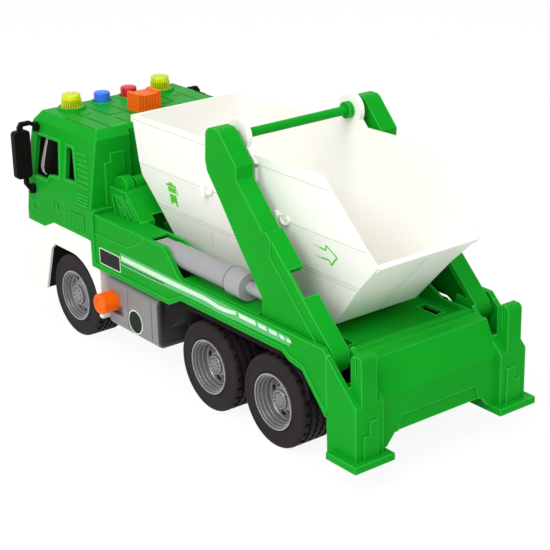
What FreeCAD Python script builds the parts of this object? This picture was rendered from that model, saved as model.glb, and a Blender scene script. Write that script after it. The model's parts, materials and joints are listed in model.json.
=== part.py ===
import FreeCAD
import Part
import Sketcher
import math
import os
import re

# Toy skip loader truck with a container carried between two swinging arms.
doc = FreeCAD.newDocument("SkipLoader")
sheet = doc.addObject("Spreadsheet::Sheet", "Sizes")

# Driving sizes in millimetres: alias, value, meaning.
# X runs to the truck's left side, the front faces -Y and the wheels stand on Z = 0.
driving = [
    # Widths, from the container outwards
    ("skipHalfTop", 39.3, "half the container's width at its front rim"),
    ("skipRimLean", 2.6, "lean of a container side above the upper crease"),
    ("skipSideLean", 4.3, "lean of a container side between the creases"),
    ("skipFloorLean", 4.0, "lean of a container side below the lower crease"),
    ("skipWall", 1.8, "wall of the container"),
    ("earProud", 1.4, "how far a container ear stands outside the rim"),
    ("earThick", 3.2, "thickness of a container ear"),
    ("lugProud", 2.4, "how far the lugs stand out of the container's side"),
    ("armGap", 3.9, "gap between a container ear and its arm"),
    ("armWidth", 11.4, "width of an arm"),
    ("armPlate", 2.2, "thickness of an arm's outer plate"),
    ("armFlange", 3.0, "thickness of an arm's rear flange"),
    ("armStep", 0.6, "depth of the step along an arm's outer face"),
    ("slotPlay", 1.0, "gap between an arm and the skirt"),
    ("skirtWall", 3.0, "thickness of a side skirt"),
    ("wallRound", 7.0, "rounding of the raised walls' rear ends"),
    ("flangeRound", 3.0, "rounding of the flange's outer corner"),
    ("skirtLip", 0.8, "how far the skirt's lower lip and front flange stand out"),
    ("troughPlay", 1.6, "gap between an arm and the wall inside it"),
    ("troughWall", 1.5, "thickness of the wall between trough and deck"),
    ("cabInset", 0.5, "how far the cab's side lies inside the skirt's face"),
    ("cabLean", 6.5, "lean of a cab side from the waist to the eaves"),
    ("roofBevel", 4.0, "width of the bevel between eaves and roof"),
    ("tyreInset", 1.5, "how far the tyres lie inside the skirt's face"),
    ("tankInset", 2.5, "how far a side tank lies inside the skirt's face"),
    ("hubGap", 2.5, "gap between a rear tyre and the chassis tray"),
    ("mirrorGap", 2.1, "gap between cab side and mirror"),
    ("mirrorWidth", 11.0, "width of a mirror"),
    ("footLip", 4.1, "how far a stabiliser foot stands outside the skirt"),
    ("footReach", 3.8, "how far a stabiliser foot reaches inside its tower"),
    # Heights, from the ground upwards
    ("wheelRadius", 26.3, "radius of every tyre"),
    ("guardGap", 1.8, "gap between tyres and mudguard"),
    ("guardThick", 4.6, "depth of a mudguard over the wheels"),
    ("guardLowZ", 37.0, "lower ends of a mudguard above the ground"),
    ("deckThick", 3.0, "thickness of the deck"),
    ("skirtRise", 10.0, "top of the skirts above the deck"),
    ("skirtDrop", 8.0, "lower edge of the skirts ahead of the wheels below the deck"),
    ("archDrop", 1.8, "lower edge of the skirts over the rear wheels below the deck"),
    ("lipTall", 3.0, "height of the lip along the skirt's lower edge"),
    ("wallRise", 15.3, "top of the raised wall beside a cylinder above the skirt"),
    ("coverDrop", 1.0, "cover over a cylinder's front end below the raised wall"),
    ("coverThick", 1.5, "thickness of that cover"),
    ("flangeRise", 2.2, "front flange above the raised wall"),
    ("ledgeThick", 2.0, "thickness of the ledge under a cylinder"),
    ("crestRise", 4.2, "top of the crest above the deck"),
    ("ridgeTall", 0.8, "height of the ridges on the crest and round the lock slots"),
    ("towerDrop", 14.7, "rear edge of a tower's sloping top below the deck"),
    ("towerFootDrop", 26.8, "where the skirt's lower edge meets the tower below the deck"),
    ("postRise", 11.6, "top of a post above the deck"),
    ("footLowZ", 14.4, "underside of a stabiliser foot above the ground"),
    ("footThick", 3.9, "thickness of a stabiliser foot"),
    ("panelDrop", 19.4, "foot of the rear panel's slope below the crest"),
    ("archRise", 10.3, "underside of the rear panel above the feet's underside"),
    ("baseZ", 13.0, "underside of the chassis tray above the ground"),
    ("baseStep", 17.0, "height of the tray's raised rear end above its underside"),
    ("lockX", 31.7, "middle of a lock slot in the deck"),
    ("lockBack", 15.2, "middle of a lock slot ahead of the crest"),
    ("lockHalf", 2.7, "half the width of a lock slot"),
    ("lockReach", 7.5, "half the length of a lock slot"),
    ("lockRim", 1.2, "width of the rim round a lock slot"),
    ("noseDrop", 10.0, "top of the chassis tray under the cab below the deck"),
    ("pivotRise", 1.6, "pivot of the arms above the deck"),
    ("slotDeep", 4.6, "room under an arm's rounded end"),
    ("carryGap", 6.2, "gap between deck and container"),
    ("skipLowRise", 26.1, "lower crease above the container's floor"),
    ("skipBendRise", 25.2, "upper crease above the lower one"),
    ("skipTopRise", 32.8, "highest point of the rim above the upper crease"),
    ("skipRimFall", 3.9, "how much lower the rim is at the front"),
    ("barDrop", 6.8, "bar above the highest point of the rim"),
    ("skipLipDrop", 39.5, "rear lip below the highest point of the rim"),
    ("frontBendRise", 43.5, "bend in the container's front above its floor"),
    ("cabGap", 2.0, "lower edge of the cab at the front above the deck"),
    ("sillRise", 5.3, "step up of the cab's lower edge behind the wheel"),
    ("doorTall", 24.0, "waist of the cab above its lower edge"),
    ("windowTall", 42.0, "eaves of the cab above its waist"),
    ("roofTall", 5.4, "roof above the eaves"),
    ("bumperLowZ", 21.0, "lower edge of the bumper above the ground"),
    ("boardRise", 15.4, "top of the blocks behind the cab above the cover"),
    # Lengths, from the front axle to both ends
    ("frontAxleY", -106.4, "front axle from the middle of the truck"),
    ("wheelBase", 142.0, "front axle to middle axle"),
    ("tyreGap", 6.2, "gap between middle and rear tyres"),
    ("archGap", 2.4, "gap between a front tyre and its arch"),
    ("archReach", 35.1, "front end of the wheel arch ahead of the front axle"),
    ("archLean", 10.0, "lean of the arch's front end"),
    ("stepWidth", 3.7, "width of the panel behind the front wheel"),
    ("cabSetback", 6.8, "rear of the cab ahead of that panel's rear edge"),
    ("cabLength", 80.2, "length of the cab at its waist"),
    ("cabWall", 2.2, "wall of the cab"),
    ("noseStep", 3.4, "foot of the windscreen behind the cab's front"),
    ("screenLean", 3.0, "lean of the windscreen"),
    ("browRun", 6.0, "run of the bevel between windscreen and roof"),
    ("browTall", 8.0, "height of that bevel"),
    ("roofRound", 4.6, "bevel between roof and rear"),
    ("cabRound", 3.2, "rounding of the cab's front corners"),
    ("bumperRound", 6.0, "rounding of the bumper's corners"),
    ("bumperProud", 7.2, "how far the bumper stands ahead of the cab"),
    ("panelProud", 1.0, "how far the stepped panel stands out of the cab's rear"),
    ("recessDeep", 2.5, "depth of the recess in the middle of the cab's rear"),
    ("recessHalf", 29.0, "half the width of that recess"),
    ("skirtGap", 0.3, "gap between cab and skirts"),
    ("flangeDeep", 3.5, "width of the flange at the skirt's front end"),
    ("archStepBack", 21.6, "step of the skirt's lower edge ahead of the middle axle"),
    ("archEndReach", 11.4, "end of the level lower edge behind the rear axle"),
    ("pivotSetback", 38.4, "pivot of the arms behind the rear axle"),
    ("towerSetback", 8.1, "front of the towers behind the pivot"),
    ("towerDepth", 22.8, "depth of a tower"),
    ("postDepth", 8.2, "depth of a post on its tower"),
    ("postWidth", 10.0, "width of a post on its tower"),
    ("postRound", 3.0, "rounding of a post's top"),
    ("footFront", 4.0, "front edge of a foot behind the tower's front"),
    ("footRear", 4.5, "rear edge of a foot behind the tower's rear"),
    ("plateProud", 0.9, "thickness of the stepped plate and the pad on a tower's rear"),
    ("panelInset", 3.2, "rear panel ahead of the towers' rear face"),
    ("panelWall", 3.0, "thickness of the rear panel"),
    ("shelfDepth", 8.0, "rear edge of the shelf ahead of the rear panel"),
    ("guardFrontRoom", 17.6, "front end of a mudguard ahead of the middle tyre"),
    ("guardPlay", 0.5, "gap between the rear tyre and the mudguard's rear leg"),
    ("guardLeg", 2.8, "width of the mudguard's rear leg"),
    ("guardRound", 7.0, "rounding of the mudguard's bends"),
    ("baseWall", 2.0, "wall of the chassis tray"),
    ("springProud", 0.9, "how far the moulded leaf springs stand out of the tray"),
    ("springRise", 12.0, "underside of the longest leaf spring above the axles"),
    ("springPitch", 3.4, "spacing of the leaves"),
    ("springThick", 2.4, "thickness of a leaf"),
    ("hatchHalf", 24.0, "half the width of the battery hatch under the tray"),
    ("baseRearRoom", 5.3, "tray behind the rear tyres"),
    ("tyreWidth", 24.0, "width of a rear tyre"),
    ("steerTyreWidth", 20.0, "width of a front tyre"),
    ("tyreShoulder", 3.0, "height of a tyre's bevelled shoulder"),
    ("beadRadius", 15.9, "radius of a rim's outer lip"),
    ("dishDeep", 8.6, "depth of a rear rim's web below the tyre's face"),
    ("steerDishDeep", 4.6, "depth of a front rim's web below the tyre's face"),
    ("hubRadius", 4.4, "radius of a rear rim's hub cap"),
    ("hubDeep", 3.2, "depth of a hub cap below the tyre's face"),
    ("shaftRadius", 1.6, "radius of an axle shaft"),
    ("shaftPlay", 0.08, "clearance of a shaft or pin in its bore"),
    ("armEnd", 9.0, "radius of an arm's rounded lower end"),
    ("armSlope", 46.0, "slope of an arm's rear edge in degrees"),
    ("armRound", 5.5, "rounding of an arm's head"),
    ("armPin", 1.8, "radius of an arm's pivot pin"),
    ("barRadius", 2.6, "radius of the bar"),
    ("barPlay", 0.1, "clearance of the bar in the container's ears"),
    ("collarRadius", 4.8, "radius of a collar on the bar"),
    ("collarThick", 3.0, "thickness of a collar on the bar"),
    ("collarGap", 0.3, "gap between collar and ear"),
    ("earRadius", 9.4, "radius of a container ear round the bar"),
    ("jackSpan", 150.8, "front pin of a cylinder ahead of the arms' pivot"),
    ("jackPlay", 0.4, "gap between a cylinder barrel and the walls of its trough"),
    ("glandStep", 1.4, "how far the gland stands out of the barrel"),
    ("glandLength", 14.5, "length of the gland"),
    ("jackRise", 1.0, "gap between gland and ledge"),
    ("barrelSetback", 11.0, "front end of a barrel behind its pin"),
    ("glandGap", 40.5, "gland of a barrel short of the rod's eye with the arms at rest"),
    ("rodRadius", 3.5, "radius of a cylinder rod"),
    ("rodPlay", 0.1, "clearance of the rod in its barrel and of the barrel on its pin"),
    ("rodInset", 15.0, "inner end of the rod behind the barrel's front end"),
    ("eyeSetback", 26.8, "eye of the rod ahead of the arms' pivot"),
    ("eyeRadius", 4.4, "radius of the eyes on barrel and rod"),
    ("eyeHalf", 2.9, "half the width of the rod's eye"),
    ("clevisHalf", 4.0, "half the width of the barrel's front eye"),
    ("pinRadius", 2.0, "radius of a cylinder's front pin"),
    ("skipGap", 19.8, "rim of the container behind the cab"),
    ("frontLean", 2.2, "lean of the container's front above its bend"),
    ("frontSlope", 30.9, "run of the container's front slope"),
    ("floorLength", 138.9, "length of the container's floor"),
    ("rearRun", 22.4, "run of the container's rear slope up to the lower crease"),
    ("lipRun", 18.6, "run of the container's rear slope above it"),
    ("rimRear", 38.2, "where the rim starts to slope down, ahead of the rear lip"),
    ("barSetback", 106.0, "bar behind the container's front rim"),
    ("rimBand", 4.0, "height of the band along the container's front and rear rim"),
    ("rimProud", 0.9, "how far that band stands out"),
    ("boardPlay", 6.0, "gap between the blocks behind the cab and the container"),
    ("boardProud", 3.0, "how far the blocks stand over the trough"),
    ("boardIn", 20.0, "inner side of the blocks behind the cab"),
    ("boardNotch", 36.0, "inner side of a block's foot"),
    ("humpInset", 3.6, "hump from a block's outer side"),
    ("humpWidth", 6.0, "width of the hump on a block"),
    ("humpRadius", 7.0, "radius of the hump on a block"),
    ("ribPitch", 3.2, "spacing of the ribs on a block's outer side"),
    # Windows, lamps, lights, mirrors and tanks
    ("lipWidth", 1.5, "width of the raised lip round a side window"),
    ("lipProud", 0.6, "how far that lip stands out"),
    ("windowPillar", 12.8, "front edge of the door window behind the cab's front"),
    ("rearPillar", 17.4, "rear edge of the small window ahead of the cab's rear"),
    ("smallWindow", 12.4, "width of the small side window at its foot"),
    ("doorPillar", 6.9, "pillar between the two side windows at their feet"),
    ("windowLow", 7.4, "lower edge of the door window above the waist, along the lean"),
    ("windowHigh", 33.8, "upper edge of the windows above the waist, along the lean"),
    ("glassWall", 1.2, "thickness of the window liner"),
    ("glassPlay", 0.2, "gap between window liner and cab wall, and round a lamp lens"),
    ("screenHalf", 44.0, "half the width of the windscreen"),
    ("grooveWide", 0.7, "width of the grooves in cab and roof"),
    ("grooveDeep", 0.5, "depth of the grooves in cab, roof and blocks"),
    ("louvrePitch", 3.2, "spacing of the louvres behind the windows"),
    ("louvreBack", 3.4, "rear end of the louvres ahead of the cab's rear"),
    ("louvreLong", 11.0, "length of a louvre"),
    ("grilleHalf", 34.0, "half the width of the grille"),
    ("slatPitch", 3.4, "spacing of the grille's slots"),
    ("lampInset", 19.5, "middle of a lamp lens from the cab's side"),
    ("lampHalf", 9.0, "half the width of a lamp lens"),
    ("lampRise", 13.0, "lower edge of a lamp lens above the bumper's lower edge"),
    ("lampTall", 11.0, "height of a lamp lens"),
    ("lampDepth", 1.4, "thickness of a lamp lens"),
    ("beaconInset", 19.8, "beacon from the eaves"),
    ("beaconBack", 21.5, "beacons behind the cab's front"),
    ("beaconRadius", 5.9, "radius of a beacon"),
    ("beaconTall", 9.8, "height of a beacon above the roof"),
    ("ringWidth", 2.6, "width of the ring round a beacon's foot"),
    ("ringTall", 1.2, "height of that ring"),
    ("buttonX", 10.0, "round buttons from the middle"),
    ("buttonBack", 20.0, "round buttons behind the cab's front"),
    ("buttonRadius", 4.7, "radius of a round button"),
    ("buttonTall", 6.6, "height of a round button above the roof"),
    ("hornHalf", 8.2, "half the width of the square button"),
    ("hornDepth", 12.8, "depth of the square button"),
    ("hornBack", 20.4, "rear of the square button ahead of the cab's rear"),
    ("hornTall", 11.5, "height of the square button above the roof"),
    ("mirrorDepth", 4.6, "depth of a mirror"),
    ("mirrorBack", 12.4, "front of a mirror behind the cab's front"),
    ("mirrorRound", 2.5, "rounding of a mirror's corners"),
    ("mirrorRise", 7.5, "lower end of a mirror above the waist"),
    ("mirrorTall", 30.5, "height of a mirror"),
    ("knuckleRadius", 1.9, "radius of the knuckles that hold a mirror's arms"),
    ("knuckleTall", 5.6, "height of those knuckles"),
    ("tankGap", 5.5, "front of a side tank behind the panel at the front wheel"),
    ("tankRearGap", 8.7, "rear of a side tank ahead of the mudguard"),
    ("tankLowZ", 18.6, "underside of a side tank above the ground"),
    ("tankTopGap", 4.0, "top of a side tank below the skirt"),
    ("tankRound", 4.5, "rounding of a side tank's outer edges"),
    ("strapGroove", 1.2, "width of the grooves beside a tank's strap"),
    ("strapFront", 19.8, "front strap groove behind the tank's front"),
    ("strapRear", 6.3, "rear strap groove ahead of the tank's rear"),
    ("knobBack", 5.3, "lever knob behind the tank's front"),
    ("knobRise", 17.4, "lever knob above the tank's underside"),
    ("knobReach", 11.0, "outer end of the lever knob outside the tank"),
    ("knobRadius", 6.4, "radius of the lever knob"),
]
for row, (alias, value, meaning) in enumerate(driving, start=1):
    sheet.set(f"A{row}", meaning)
    sheet.set(f"B{row}", str(value))
    sheet.setAlias(f"B{row}", alias)
doc.recompute()
aliases = {alias for alias, value, meaning in driving}

# Places that follow from the driving sizes and their clearances.
derived = {
    "armIn": "skipHalfTop + earProud + armGap",
    "armOut": "armIn + armWidth",
    "skirtIn": "armOut + slotPlay",
    "bodyHalf": "skirtIn + skirtWall",
    "troughIn": "armIn - troughPlay",
    "deckHalf": "troughIn - troughWall",
    "jackX": "(troughIn + skirtIn) / 2",
    "jackRadius": "(skirtIn - troughIn) / 2 - jackPlay",
    "glandRadius": "jackRadius + glandStep",
    "cabHalf": "bodyHalf - cabInset",
    "eavesHalf": "cabHalf - cabLean",
    "roofHalf": "eavesHalf - roofBevel",
    "tyreFace": "bodyHalf - tyreInset",
    "tankOut": "bodyHalf - tankInset",
    "baseHalf": "tyreFace - tyreWidth - hubGap",
    "mirrorIn": "cabHalf + mirrorGap",
    "mirrorOut": "mirrorIn + mirrorWidth",
    "footIn": "deckHalf - footReach",
    "footOut": "bodyHalf + footLip",
    "boardOut": "troughIn + boardProud",
    "skipHalfBend": "skipHalfTop - skipRimLean",
    "skipHalfLow": "skipHalfBend - skipSideLean",
    "skipHalfFloor": "skipHalfLow - skipFloorLean",
    "earOut": "skipHalfTop + earProud",
    "earIn": "earOut - earThick",
    "lampX": "cabHalf - lampInset",
    "beaconX": "eavesHalf - beaconInset",
    "guardTopZ": "2 * wheelRadius + guardGap + guardThick",
    "deckTopZ": "guardTopZ + deckThick",
    "skirtTopZ": "deckTopZ + skirtRise",
    "skirtLowZ": "deckTopZ - skirtDrop",
    "skirtArchZ": "deckTopZ - archDrop",
    "wallTopZ": "skirtTopZ + wallRise",
    "coverTopZ": "wallTopZ - coverDrop",
    "crestZ": "deckTopZ + crestRise",
    "towerTopZ": "deckTopZ - towerDrop",
    "towerFootZ": "deckTopZ - towerFootDrop",
    "postTopZ": "deckTopZ + postRise",
    "panelFootZ": "crestZ - panelDrop",
    "footTopZ": "footLowZ + footThick",
    "panelArchZ": "footLowZ + archRise",
    "noseTopZ": "deckTopZ - noseDrop",
    "armPivotZ": "deckTopZ + pivotRise",
    "slotFloorZ": "armPivotZ - armEnd - slotDeep",
    "jackZ": "skirtTopZ + jackRise + glandRadius",
    "skipFloorZ": "deckTopZ + carryGap",
    "skipLowZ": "skipFloorZ + skipLowRise",
    "skipBendZ": "skipLowZ + skipBendRise",
    "skipTopZ": "skipBendZ + skipTopRise",
    "skipLipZ": "skipTopZ - skipLipDrop",
    "frontBendZ": "skipFloorZ + frontBendRise",
    "barZ": "skipTopZ + barDrop",
    "cabLowZ": "deckTopZ + cabGap",
    "cabSillZ": "cabLowZ + sillRise",
    "cabWaistZ": "cabLowZ + doorTall",
    "cabEavesZ": "cabWaistZ + windowTall",
    "cabRoofZ": "cabEavesZ + roofTall",
    "boardTopZ": "coverTopZ + boardRise",
    "lampLowZ": "bumperLowZ + lampRise",
    "lampTopZ": "lampLowZ + lampTall",
    "archTopZ": "2 * wheelRadius + archGap",
    "tankTopZ": "skirtLowZ - tankTopGap",
    "middleAxleY": "frontAxleY + wheelBase",
    "rearAxleY": "middleAxleY + 2 * wheelRadius + tyreGap",
    "bumperRearY": "frontAxleY + wheelRadius + archGap + stepWidth",
    "cabRearY": "bumperRearY - cabSetback",
    "cabFrontY": "cabRearY - cabLength",
    "screenFootY": "cabFrontY + noseStep",
    "screenTopY": "screenFootY + screenLean",
    "roofFrontY": "screenTopY + browRun",
    "browZ": "cabRoofZ - browTall",
    "bumperFrontY": "cabFrontY - bumperProud",
    "skirtFrontY": "cabRearY + skirtGap",
    "archStepY": "middleAxleY - archStepBack",
    "archEndY": "rearAxleY + archEndReach",
    "armPivotY": "rearAxleY + pivotSetback",
    "towerFrontY": "armPivotY + towerSetback",
    "towerRearY": "towerFrontY + towerDepth",
    "postFrontY": "towerRearY - postDepth",
    "slotRearY": "postFrontY - 0.6",
    "panelRearY": "towerRearY - panelInset",
    "shelfRearY": "panelRearY - shelfDepth",
    "crestFrontY": "armPivotY + 1.2",
    "crestStartY": "crestFrontY - 16",
    "lockY": "crestFrontY - lockBack",
    "baseRearY": "panelRearY - panelWall",
    "baseEndY": "rearAxleY + wheelRadius + baseRearRoom",
    "baseFrontY": "bumperFrontY + 6.5",
    "jackY": "armPivotY - jackSpan",
    "jackFrontY": "jackY + barrelSetback",
    "barrelLength": "jackSpan - barrelSetback - glandGap - eyeSetback",
    "jackRearY": "jackFrontY + barrelLength",
    "rodStartY": "jackFrontY + rodInset",
    "rodEyeY": "armPivotY - eyeSetback",
    "wallFootY": "jackY + 30",
    "wallHeadY": "wallFootY - 14.2",
    "coverRearY": "jackY - eyeRadius - 0.6",
    "notchY": "armPivotY - 52",
    "skipFrontY": "cabRearY + skipGap",
    "frontBendY": "skipFrontY + frontLean",
    "skipFloorFrontY": "frontBendY + frontSlope",
    "skipFloorRearY": "skipFloorFrontY + floorLength",
    "skipLowRearY": "skipFloorRearY + rearRun",
    "skipLipY": "skipLowRearY + lipRun",
    "skipRimY": "skipLipY - rimRear",
    "barY": "skipFrontY + barSetback",
    "boardFrontY": "cabRearY + panelProud + skirtGap",
    "boardRearY": "frontBendY + (frontBendZ - coverTopZ) * frontSlope / frontBendRise - boardPlay",
    "boardEdgeY": "boardRearY - boardRise",
    "humpY": "boardFrontY + humpRadius + 0.1",
    "beaconY": "cabFrontY + beaconBack",
    "buttonY": "cabFrontY + buttonBack",
    "hornRearY": "cabRearY - hornBack",
    "mirrorFrontY": "cabFrontY + mirrorBack",
    "mirrorRearY": "mirrorFrontY + mirrorDepth",
    "mirrorLowZ": "cabWaistZ + mirrorRise",
    "mirrorTopZ": "mirrorLowZ + mirrorTall",
    "guardFrontY": "middleAxleY - wheelRadius - guardFrontRoom",
    "guardRearY": "rearAxleY + wheelRadius + guardPlay + guardLeg",
    "springHalf": "baseHalf + springProud",
    "hatchFrontY": "bumperRearY + 29",
    "hatchRearY": "middleAxleY - wheelRadius - 1.3",
    "tankFrontY": "bumperRearY + tankGap",
    "tankRearY": "guardFrontY - tankRearGap",
    "knobY": "tankFrontY + knobBack",
    "knobZ": "tankLowZ + knobRise",
}


def bound(formula):
    """Writes a formula of names as an expression on the sheet."""
    def swap(word):
        name = word[0]
        if name in derived:
            return "(" + bound(derived[name]) + ")"
        return "Sizes." + name if name in aliases else name
    return re.sub(r"[A-Za-z]\w*", swap, str(formula))


def worth(formula):
    """Gives the present value of a formula of names."""
    return float(sheet.evalExpression(bound(formula)))


def newBody(name, **place):
    """Adds a sub-part. Its label names its file."""
    body = doc.addObject("PartDesign::Body", name)
    body.Label = name
    for axis, formula in place.items():
        body.setExpression(f"Placement.Base.{axis}", bound(formula))
    return body


def plane(body, role):
    return next(item for item in body.Origin.OriginFeatures if item.Role == role)


def pin(sketch, shape, point, x, y):
    """Ties one point of a sketch to two formulas, measured from the sketch's origin."""
    for kind, formula in (("DistanceX", x), ("DistanceY", y)):
        index = sketch.addConstraint(Sketcher.Constraint(kind, -1, 1, shape, point, worth(formula)))
        sketch.setExpression(f"Constraints[{index}]", bound(formula))


def newSketch(body, role, outlines, offset="0", lift=None, lean=None):
    """Draws closed outlines on a plane of the body.

    An outline is a list of corners (x, y), or a circle (x, y, radius). A plane that leans is first
    lifted to its foot, and lean is its run over its rise.
    """
    sketch = body.newObject("Sketcher::SketchObject", body.Name + "Sketch")
    sketch.AttachmentSupport = (plane(body, role), "")
    sketch.MapMode = "FlatFace"
    if lean:
        turn = FreeCAD.Rotation(FreeCAD.Vector(-1, 0, 0), math.degrees(math.atan(worth(lean))))
        sketch.AttachmentOffset = FreeCAD.Placement(FreeCAD.Vector(), turn)
        sketch.setExpression("AttachmentOffset.Rotation.Angle", f"atan({bound(lean)})")
        sketch.setExpression("AttachmentOffset.Base.y", bound(lift))
    sketch.setExpression("AttachmentOffset.Base.z", bound(offset))
    for outline in outlines:
        if isinstance(outline, tuple):
            x, y, radius = outline
            middle = FreeCAD.Vector(worth(x), worth(y), 0)
            ring = sketch.addGeometry(Part.Circle(middle, FreeCAD.Vector(0, 0, 1), worth(radius)), False)
            pin(sketch, ring, 3, x, y)
            index = sketch.addConstraint(Sketcher.Constraint("Radius", ring, worth(radius)))
            sketch.setExpression(f"Constraints[{index}]", bound(radius))
            continue
        corners = [FreeCAD.Vector(worth(x), worth(y), 0) for x, y in outline]
        first = sketch.GeometryCount
        for start, end in zip(corners, corners[1:] + corners[:1]):
            sketch.addGeometry(Part.LineSegment(start, end), False)
        for step, (x, y) in enumerate(outline):
            before = first + (step - 1) % len(outline)
            sketch.addConstraint(Sketcher.Constraint("Coincident", before, 2, first + step, 1))
            pin(sketch, first + step, 1, x, y)
    return sketch


def extrude(body, kind, role, outlines, near, far, side, **place):
    """Pads or pockets outlines between two planes at near and far from the middle on one side."""
    facing = -side if role == "XZ_Plane" else side
    feature = body.newObject("PartDesign::" + kind, body.Name + kind)
    feature.Profile = newSketch(body, role, outlines, f"{facing} * ({near})", **place)
    feature.Profile[0].Visibility = False
    feature.setExpression("Length", bound(f"({far}) - ({near})"))
    feature.Reversed = (facing > 0) == (kind == "Pocket")
    return feature


def pad(body, role, outlines, near, far, side=1, **place):
    return extrude(body, "Pad", role, outlines, near, far, side, **place)


def pocket(body, role, outlines, near, far, side=1, **place):
    return extrude(body, "Pocket", role, outlines, near, far, side, **place)


def mirrored(body, features):
    """Repeats features on the other side of the truck."""
    feature = body.newObject("PartDesign::Mirrored", body.Name + "Mirrored")
    feature.Originals = features
    feature.MirrorPlane = (plane(body, "YZ_Plane"), [""])
    body.Tip = feature
    return feature


def revolve(body, outlines, axis="X_Axis", role="XY_Plane"):
    """Turns outlines about an axis of the body."""
    feature = body.newObject("PartDesign::Revolution", body.Name + "Revolution")
    feature.Profile = newSketch(body, role, outlines)
    feature.ReferenceAxis = (plane(body, axis), [""])
    feature.Angle = 360
    return feature


def soften(body, kind, size, wanted):
    """Rounds or chamfers the edges of the body so far that the test picks out."""
    doc.recompute()
    base = body.Tip
    names = [f"Edge{n}" for n, edge in enumerate(base.Shape.Edges, start=1) if wanted(edge)]
    if not names:
        raise RuntimeError(f"{body.Label} has no edge to soften")
    feature = body.newObject("PartDesign::" + kind, body.Name + kind)
    feature.Base = (base, names)
    feature.setExpression("Radius" if kind == "Fillet" else "Size", bound(size))
    return feature


def shell(body, wall, opened):
    """Hollows the body so far to a wall, open at the faces that the test picks out."""
    doc.recompute()
    base = body.Tip
    names = [f"Face{number}" for number, face in enumerate(base.Shape.Faces, start=1) if opened(face)]
    feature = body.newObject("PartDesign::Thickness", body.Name + "Thickness")
    feature.Base = (base, names)
    feature.setExpression("Value", bound(wall))
    feature.Join = "Intersection"
    feature.Reversed = True


def along(axis, *spots):
    """Picks the straight edges along an axis that pass through the spots, given by the other two axes."""
    across = [index for index in range(3) if index != "XYZ".index(axis)]
    places = [tuple(worth(value) for value in spot) for spot in spots]

    def wanted(edge):
        ends = [vertex.Point for vertex in edge.Vertexes]
        if len(ends) < 2 or (ends[1] - ends[0]).Length < 0.01:
            return False
        return any(all(abs(end[index] - value) < 0.05 for end in ends for index, value in zip(across, place))
                   for place in places)
    return wanted


def box(x0, x1, y0, y1):
    return [(x0, y0), (x1, y0), (x1, y1), (x0, y1)]


def flip(outline, side):
    """Puts an outline on one side of the truck."""
    return [(f"{side} * ({x})", y) for x, y in outline]


sides = (("left", 1), ("right", -1))


def chassis():
    """Open tray between the wheels, with axle bores, moulded leaf springs and a battery hatch."""
    body = newBody("chassis")
    outer = [("baseFrontY", "baseZ"), ("baseEndY", "baseZ"), ("baseEndY", "baseZ + baseStep"),
             ("baseRearY", "baseZ + baseStep"), ("baseRearY", "panelFootZ"), ("crestFrontY", "guardTopZ"),
             ("cabRearY", "guardTopZ"), ("cabRearY", "noseTopZ"), ("baseFrontY", "noseTopZ")]
    pad(body, "YZ_Plane", [outer], "-baseHalf", "baseHalf")
    inner = [("baseFrontY + baseWall", "baseZ + baseWall"), ("baseEndY - baseWall", "baseZ + baseWall"),
             ("baseEndY - baseWall", "baseZ + baseStep + baseWall"),
             ("baseRearY - baseWall", "baseZ + baseStep + baseWall"),
             ("baseRearY - baseWall", "panelFootZ - baseWall"), ("crestFrontY - baseWall", "deckTopZ"),
             ("cabRearY + baseWall", "deckTopZ"), ("cabRearY + baseWall", "noseTopZ - baseWall"),
             ("baseFrontY + baseWall", "noseTopZ - baseWall")]
    pocket(body, "YZ_Plane", [inner], "-baseHalf + baseWall", "baseHalf - baseWall")
    leaves = []
    for step in range(3):
        front = "(middleAxleY + 20)"
        rear = "(rearAxleY - 20)"
        low = f"(wheelRadius + springRise - {step} * springPitch)"
        end = f"{8 - 3 * step}"
        tip = f"{low} + {end} * 0.75"
        leaves.append([(f"{front} - {end}", tip), (front, low), (rear, low), (f"{rear} + {end}", tip),
                       (f"{rear} + {end}", f"{tip} + springThick"),
                       (rear, f"{low} + springThick"), (front, f"{low} + springThick"),
                       (f"{front} - {end}", f"{tip} + springThick")])
    for side in (1, -1):
        pad(body, "YZ_Plane", leaves, "baseHalf - 0.1", "springHalf", side)
    hatch = [box("-hatchHalf", "hatchHalf", "hatchFrontY", "hatchRearY"),
             box("1 - hatchHalf", "hatchHalf - 1", "hatchFrontY + 1", "hatchRearY - 1")]
    pocket(body, "XY_Plane", hatch, "baseZ - 1", "baseZ + 0.6")
    bores = [(axle, "wheelRadius", "shaftRadius + shaftPlay") for axle in ("frontAxleY", "middleAxleY", "rearAxleY")]
    pocket(body, "YZ_Plane", bores, "-baseHalf - 1", "baseHalf + 1")


def deck():
    """Flat deck with a rimmed lock slot on each side."""
    body = newBody("deck")
    outline = [("-skirtIn", "skirtFrontY"), ("skirtIn", "skirtFrontY"), ("skirtIn", "notchY"), ("deckHalf", "notchY"),
               ("deckHalf", "crestFrontY"), ("-deckHalf", "crestFrontY"), ("-deckHalf", "notchY"),
               ("-skirtIn", "notchY")]
    pad(body, "XY_Plane", [outline], "guardTopZ", "deckTopZ")
    for operation, rim, low, high in ((pad, "lockRim", "deckTopZ - 0.1", "deckTopZ + ridgeTall"),
                                      (pocket, "0", "guardTopZ - 1", "deckTopZ + 1")):
        slots = [box(f"{side} * lockX - lockHalf - {rim}", f"{side} * lockX + lockHalf + {rim}",
                     f"lockY - lockReach - {rim}", f"lockY + lockReach + {rim}") for side in (1, -1)]
        operation(body, "XY_Plane", slots, low, high)


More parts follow.
